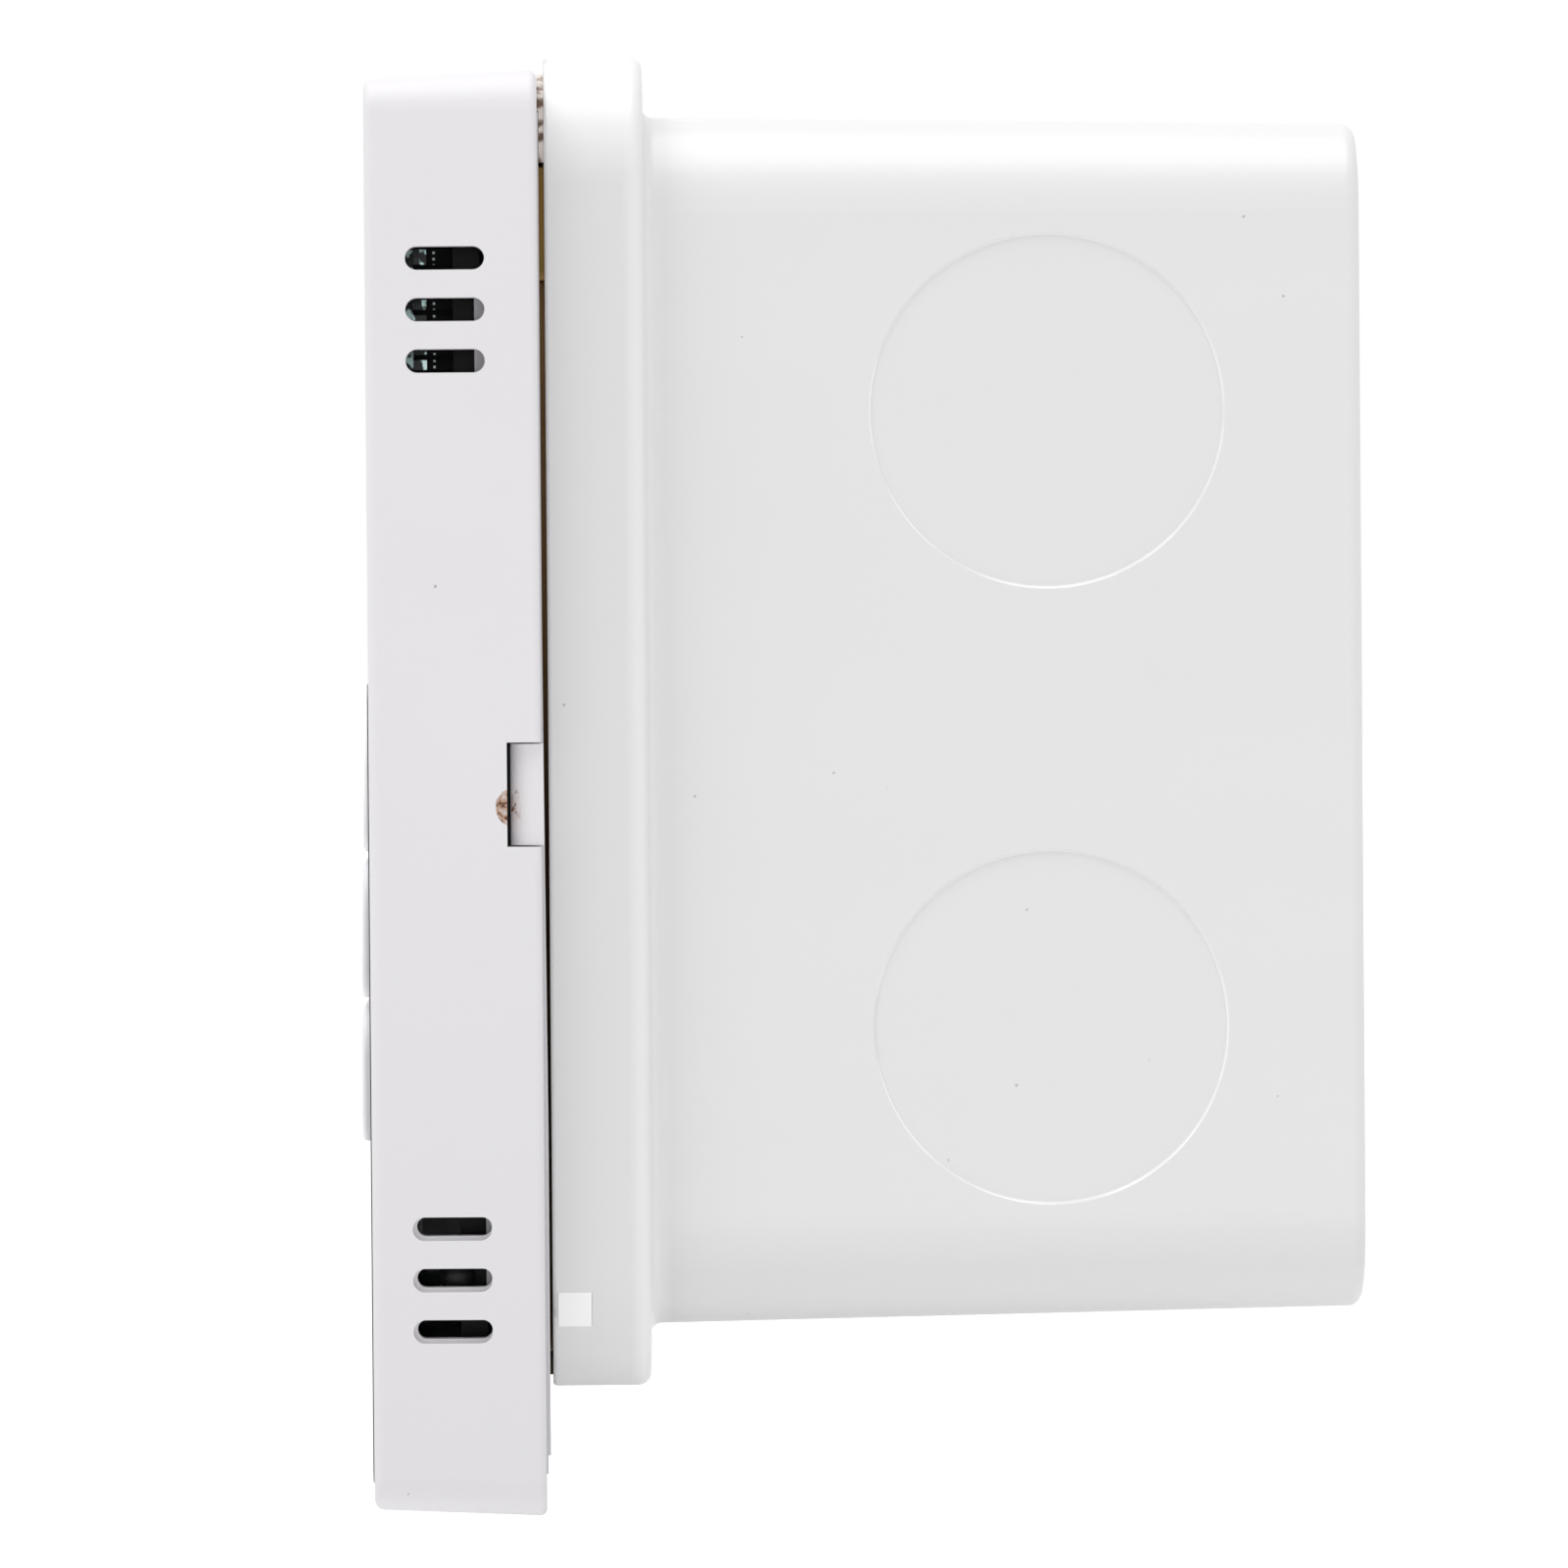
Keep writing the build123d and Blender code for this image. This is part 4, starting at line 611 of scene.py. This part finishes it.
# %% The table of finishes
METAL_IOR = 1.5
slot_material = {
    "white_abs": abs_white, "box_pvc": pvc_white, "passivated_steel": gold_steel, "foam_tape": foam,
    "smoked_acrylic": smoked, "clear_acrylic": clear, "display_glass": lcd_grey, "light_guide": guide,
    "circuit_board": board,
    # plugs: soft silicone, brighter and duller than the box
    "plug_silicone": clouded("matt_white_silicone", "FAFAFA", "FEFEFE", 1.0, 0.0, 0.6, 1.41),
    # keys: the front's ABS from a smoother mould, so a little shinier, and toned whiter, partly as painted
    # light against the dark panel's shade
    "key_abs": clouded("satin_white_abs_painted_brighter", "F1F0F2", "F5F4F6", 6.0, 0.0, 0.42, 1.54),
    # bright zinc: bluish, fine drift from the plating bath
    "zinc_steel": clouded("bright_zinc_plated_steel", "8D939B", "B4BAC2", 1.2, 1.0, 0.32, METAL_IOR),
    # display pins: copper toned near black as painted shade, so they hardly show behind the vents
    "oxidised_pins": clouded("shade_darkened_copper", "121314", "1C1E1F", 0.6, 1.0, 0.45, METAL_IOR),
    # epoxy moulding compound: flat black with a faint sandy look
    "black_epoxy": clouded("moulded_black_epoxy", "17181A", "232527", 0.5, 0.0, 0.55, 1.55),
    # relay case: blue polyester, satin
    "relay_case": clouded("moulded_blue_polyester", "1F4E86", "2A6099", 5.0, 0.0, 0.40, 1.57),
    # potted transformer: black polyester case, matt
    "transformer_potting": clouded("matt_black_polyester", "1C1D1F", "2A2B2D", 3.0, 0.0, 0.50, 1.57),
    # film capacitor: yellow polypropylene box, satin
    "film_box": clouded("moulded_yellow_polypropylene", "C79A1E", "D9AF3A", 4.0, 0.0, 0.42, 1.49),
    # electrolytic capacitors: shrunk dark sleeve, glossy
    "can_sleeve": clouded("shrunk_black_sleeve", "14202E", "1E2E40", 2.0, 0.0, 0.30, 1.53),
    # varistor: dipped blue epoxy, orange peel
    "varistor_coat": clouded("dipped_blue_epoxy", "274F8F", "3767A8", 0.9, 0.0, 0.28, 1.55),
    # fuse: moulded black case
    "fuse_case": clouded("moulded_black_polyester", "202022", "2E2E30", 1.5, 0.0, 0.45, 1.57),
    # terminals: pale green nylon, satin and slightly milky
    "terminal_nylon": clouded("moulded_green_nylon", "2E7F52", "3A9162", 4.0, 0.0, 0.45, 1.53),
    # clamps: nickel on brass, warm silver
    "nickel_brass": clouded("nickel_plated_brass", "A8A294", "C9C3B4", 1.0, 1.0, 0.28, METAL_IOR),
    # crystal: drawn metal can, bright
    "crystal_can": clouded("drawn_nickel_silver_can", "A9ABAD", "C7C9CB", 1.5, 1.0, 0.22, METAL_IOR),
    # sensor bead: dipped dark epoxy
    "sensor_epoxy": clouded("dipped_black_epoxy", "0D0E0F", "161718", 0.6, 0.0, 0.50, 1.55),
}
for part in frame["record"]["subparts"]:
    slots = nodes[part["node"]].material_slots
    for index in range(len(slots)):
        slots[index].material = slot_material[part["material_slot"]]
print(len(slot_material), "finishes on", len(nodes), "nodes")

# %% [markdown]
# ## Flat prints
# The display's figures and the signs on the keys are films of ink a few
# hundredths of a millimetre thick. They could be painted in a material, but a
# real outline stays sharp however close the camera comes. Each print is drawn
# flat with a few bmesh operators, given its thickness with solidify, and then
# stood up to face the room.

# %% Drawing helpers
def draw_bar(bm, centre, length, width, turn=0.0):
    """A flat bar, whose long side is turned by so many degrees. Returns its four corners."""
    place = (Matrix.Translation((centre[0], centre[1], 0)) @ Matrix.Rotation(radians(turn), 4, "Z")
             @ Matrix.Diagonal((length, width, 1, 1)))
    return bmesh.ops.create_grid(bm, x_segments=1, y_segments=1, size=0.5, matrix=place)["verts"]


def draw_disc(bm, centre, radius, sides=40, turn=0.0, stretch=1.0):
    """A flat disc, or a polygon if it has few sides, with its first corner turned to an angle."""
    place = (Matrix.Translation((centre[0], centre[1], 0)) @ Matrix.Rotation(radians(turn), 4, "Z")
             @ Matrix.Diagonal((stretch, 1, 1, 1)))
    return bmesh.ops.create_circle(bm, cap_ends=True, segments=sides, radius=radius, matrix=place)["verts"]


def draw_ring(bm, centre, radius, width, start=0.0, sweep=360.0):
    """A flat ring, or part of one, spun from a short spoke."""
    spoke = Matrix.Rotation(radians(start), 3, "Z") @ Vector((1, 0, 0))
    middle = Vector((centre[0], centre[1], 0))
    ends = [bm.verts.new(middle + spoke * (radius + side * width / 2)) for side in (-1, 1)]
    edge = bm.edges.new(ends)
    bmesh.ops.spin(bm, geom=[*ends, edge], cent=middle, axis=(0, 0, 1), dvec=(0, 0, 0),
                   angle=radians(sweep), steps=max(8, int(sweep / 9)), use_merge=sweep >= 360)


INK = 0.02 * MM


def stand_print(bm, name, level_y, centre_z, material, body, sag=None):
    """Thickens a flat drawing, stands it up to face the room, and makes it a piece on a body."""
    bmesh.ops.recalc_face_normals(bm, faces=bm.faces)
    bmesh.ops.solidify(bm, geom=bm.faces[:], thickness=INK)
    lowest = min(vert.co.z for vert in bm.verts)
    bmesh.ops.translate(bm, vec=(0, 0, -lowest), verts=bm.verts)
    upright = Matrix.Translation((0, level_y, centre_z)) @ Matrix.Rotation(radians(90), 4, "X")
    bmesh.ops.transform(bm, matrix=upright, verts=bm.verts)
    for vert in bm.verts:
        vert.co.y += sag(vert.co.z) if sag else 0.0
    bmesh.ops.recalc_face_normals(bm, faces=bm.faces)
    mesh = bpy.data.meshes.new(name)
    bm.to_mesh(mesh)
    open_edges = sum(not edge.is_manifold for edge in bm.edges)
    bm.free()
    mesh.materials.append(material)
    piece = bpy.data.objects.new(name, mesh)
    scene.collection.objects.link(piece)
    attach(piece, body)
    print(name, len(mesh.polygons), "faces,", open_edges, "open edges")


ink_grey = clouded("pad_printed_grey_ink", "5A5C60", "66686C", 1.0, 0.0, 0.6, 1.5)
segment_black = clouded("dark_liquid_crystal", "1B2322", "262F2D", 3.0, 0.0, 0.35, 1.52)
print(ink_grey.name, segment_black.name)

# %% [markdown]
# ## The display's figures
# The display shows a room temperature in large figures and a set temperature in
# small ones. Each figure is made of seven bars with pointed ends. A bar starts
# as a plain rectangle, and bevelling its four corners by half its width makes
# the points. The rows lean a little, as such figures do.

# %% Seven-segment figures
LIT = {"0": "abcdef", "1": "bc", "2": "abdeg", "5": "acdfg"}


def draw_figure(bm, sign, x, y, height):
    """One figure of seven bars, with its middle at x, y."""
    half_width, half_height, stroke = height * 0.24, height * 0.5, height * 0.115
    places = {"a": (0, half_height, 0), "g": (0, 0, 0), "d": (0, -half_height, 0),
              "f": (-half_width, half_height / 2, 90), "b": (half_width, half_height / 2, 90),
              "e": (-half_width, -half_height / 2, 90), "c": (half_width, -half_height / 2, 90)}
    lean = 0.09
    for bar in LIT[sign]:
        dx, dy, turn = places[bar]
        length = (2 * half_width if turn == 0 else half_height) - stroke * 0.25
        corners = draw_bar(bm, (x + dx + lean * dy, y + dy), length, stroke, turn)
        bmesh.ops.bevel(bm, geom=corners, offset=stroke * 0.48, offset_type="OFFSET", affect="VERTICES",
                        segments=1, profile=0.5, material=-1)


figures = bmesh.new()
for sign, x in (("2", -1.0), ("1", 9.0), ("5", 21.5)):
    draw_figure(figures, sign, x * MM, 0, 13.0 * MM)
draw_disc(figures, (15.0 * MM, -6.4 * MM), 0.75 * MM, sides=4, turn=45)
draw_ring(figures, (27.4 * MM, 5.9 * MM), 0.8 * MM, 0.4 * MM)
for sign, x in (("2", -27.0), ("2", -22.4), ("0", -16.6)):
    draw_figure(figures, sign, x * MM, -4.6 * MM, 6.0 * MM)
draw_disc(figures, (-19.7 * MM, -7.5 * MM), 0.45 * MM, sides=4, turn=45)
print("figures of", len(figures.faces), "flat faces")

# %% [markdown]
# ## The display's signs
# Above the set temperature stand a fan with rising bars, for the fan's speed,
# and a sun, for heating. They could come from a font, but such fonts differ
# from one computer to the next, so they are drawn from discs and bars.

# %% Fan, bars and sun
BLADES = (90, 210, 330)
hub = Vector((-27.0, 5.0)) * MM
sun_middle = Vector((-15.0, 5.0)) * MM
for turn in BLADES:
    blade = Matrix.Rotation(radians(turn), 2) @ Vector((1.35 * MM, 0))
    draw_disc(figures, hub + blade, 0.62 * MM, sides=20, turn=turn + 25, stretch=1.7)
for step in range(3):
    height = (1.4 + 1.0 * step) * MM
    draw_bar(figures, ((-23.4 + 1.5 * step) * MM, 3.2 * MM + height / 2), height, 0.9 * MM, 90)
draw_disc(figures, sun_middle, 1.0 * MM)
for ray in range(8):
    tip = Matrix.Rotation(radians(45 * ray), 2) @ Vector((1.85 * MM, 0))
    draw_bar(figures, sun_middle + tip, 0.8 * MM, 0.35 * MM, 45 * ray)
glass_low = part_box("lcd_glass")[0]
lens_low, lens_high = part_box("lcd_window")
lens_z = (lens_low.z + lens_high.z) / 2
stand_print(figures, "display_figures", glass_low.y, lens_z, segment_black, "front_unit")

# %% [markdown]
# ## The signs on the keys
# The keys carry printed signs: power, fan and clock on the left, up, set and
# down on the right. Each row of keys lies under one shallow crown, so a print
# that was only flat would sink in on one key and float on another. The crown is
# an arc of known radius whose top lies on the lowest key, and each corner of a
# sign is let back by the arc's sag at its height.

# %% The keys' crown
crown_radius = 620.0 * MM
crown_drop = 9.3 * MM
set_low, set_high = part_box("key_set")
crown_z = (set_low.z + set_high.z) / 2 - crown_drop
crown_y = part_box("key_down")[0].y


def sag(z):
    """How far the crown has fallen back at a height."""
    return crown_radius - (crown_radius ** 2 - (z - crown_z) ** 2) ** 0.5


def key_sign(name):
    """A flat drawing, the key's middle across, and its middle height."""
    low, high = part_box("key_" + name)
    return bmesh.new(), (low.x + high.x) / 2, (low.z + high.z) / 2


print("crown top at", round(crown_z / MM, 2), "mm")

# %% Key signs
for name in ("power", "fan", "clock", "up", "set", "down"):
    sign, x, z = key_sign(name)
    if name == "power":
        draw_ring(sign, (x, 0), 1.7 * MM, 0.4 * MM, start=125, sweep=290)
        draw_bar(sign, (x, 1.3 * MM), 1.9 * MM, 0.4 * MM, 90)
    elif name == "fan":
        for turn in BLADES:
            blade = Vector((x, 0)) + Matrix.Rotation(radians(turn), 2) @ Vector((1.2 * MM, 0))
            draw_disc(sign, blade, 0.55 * MM, sides=24, turn=turn + 25, stretch=1.75)
    elif name == "clock":
        draw_ring(sign, (x, 0), 1.8 * MM, 0.36 * MM)
        draw_bar(sign, (x, 0.55 * MM), 1.1 * MM, 0.34 * MM, 90)
        draw_bar(sign, (x + 0.38 * MM, -0.17 * MM), 1.1 * MM, 0.34 * MM, 0)
    elif name == "set":
        draw_ring(sign, (x, 0), 1.6 * MM, 0.4 * MM)
        draw_disc(sign, (x, 0), 0.55 * MM)
    else:
        draw_disc(sign, (x, 0), 2.0 * MM, sides=3, turn=0 if name == "up" else 180)
    stand_print(sign, "sign_" + name, crown_y, z, ink_grey, "key_" + name, sag)
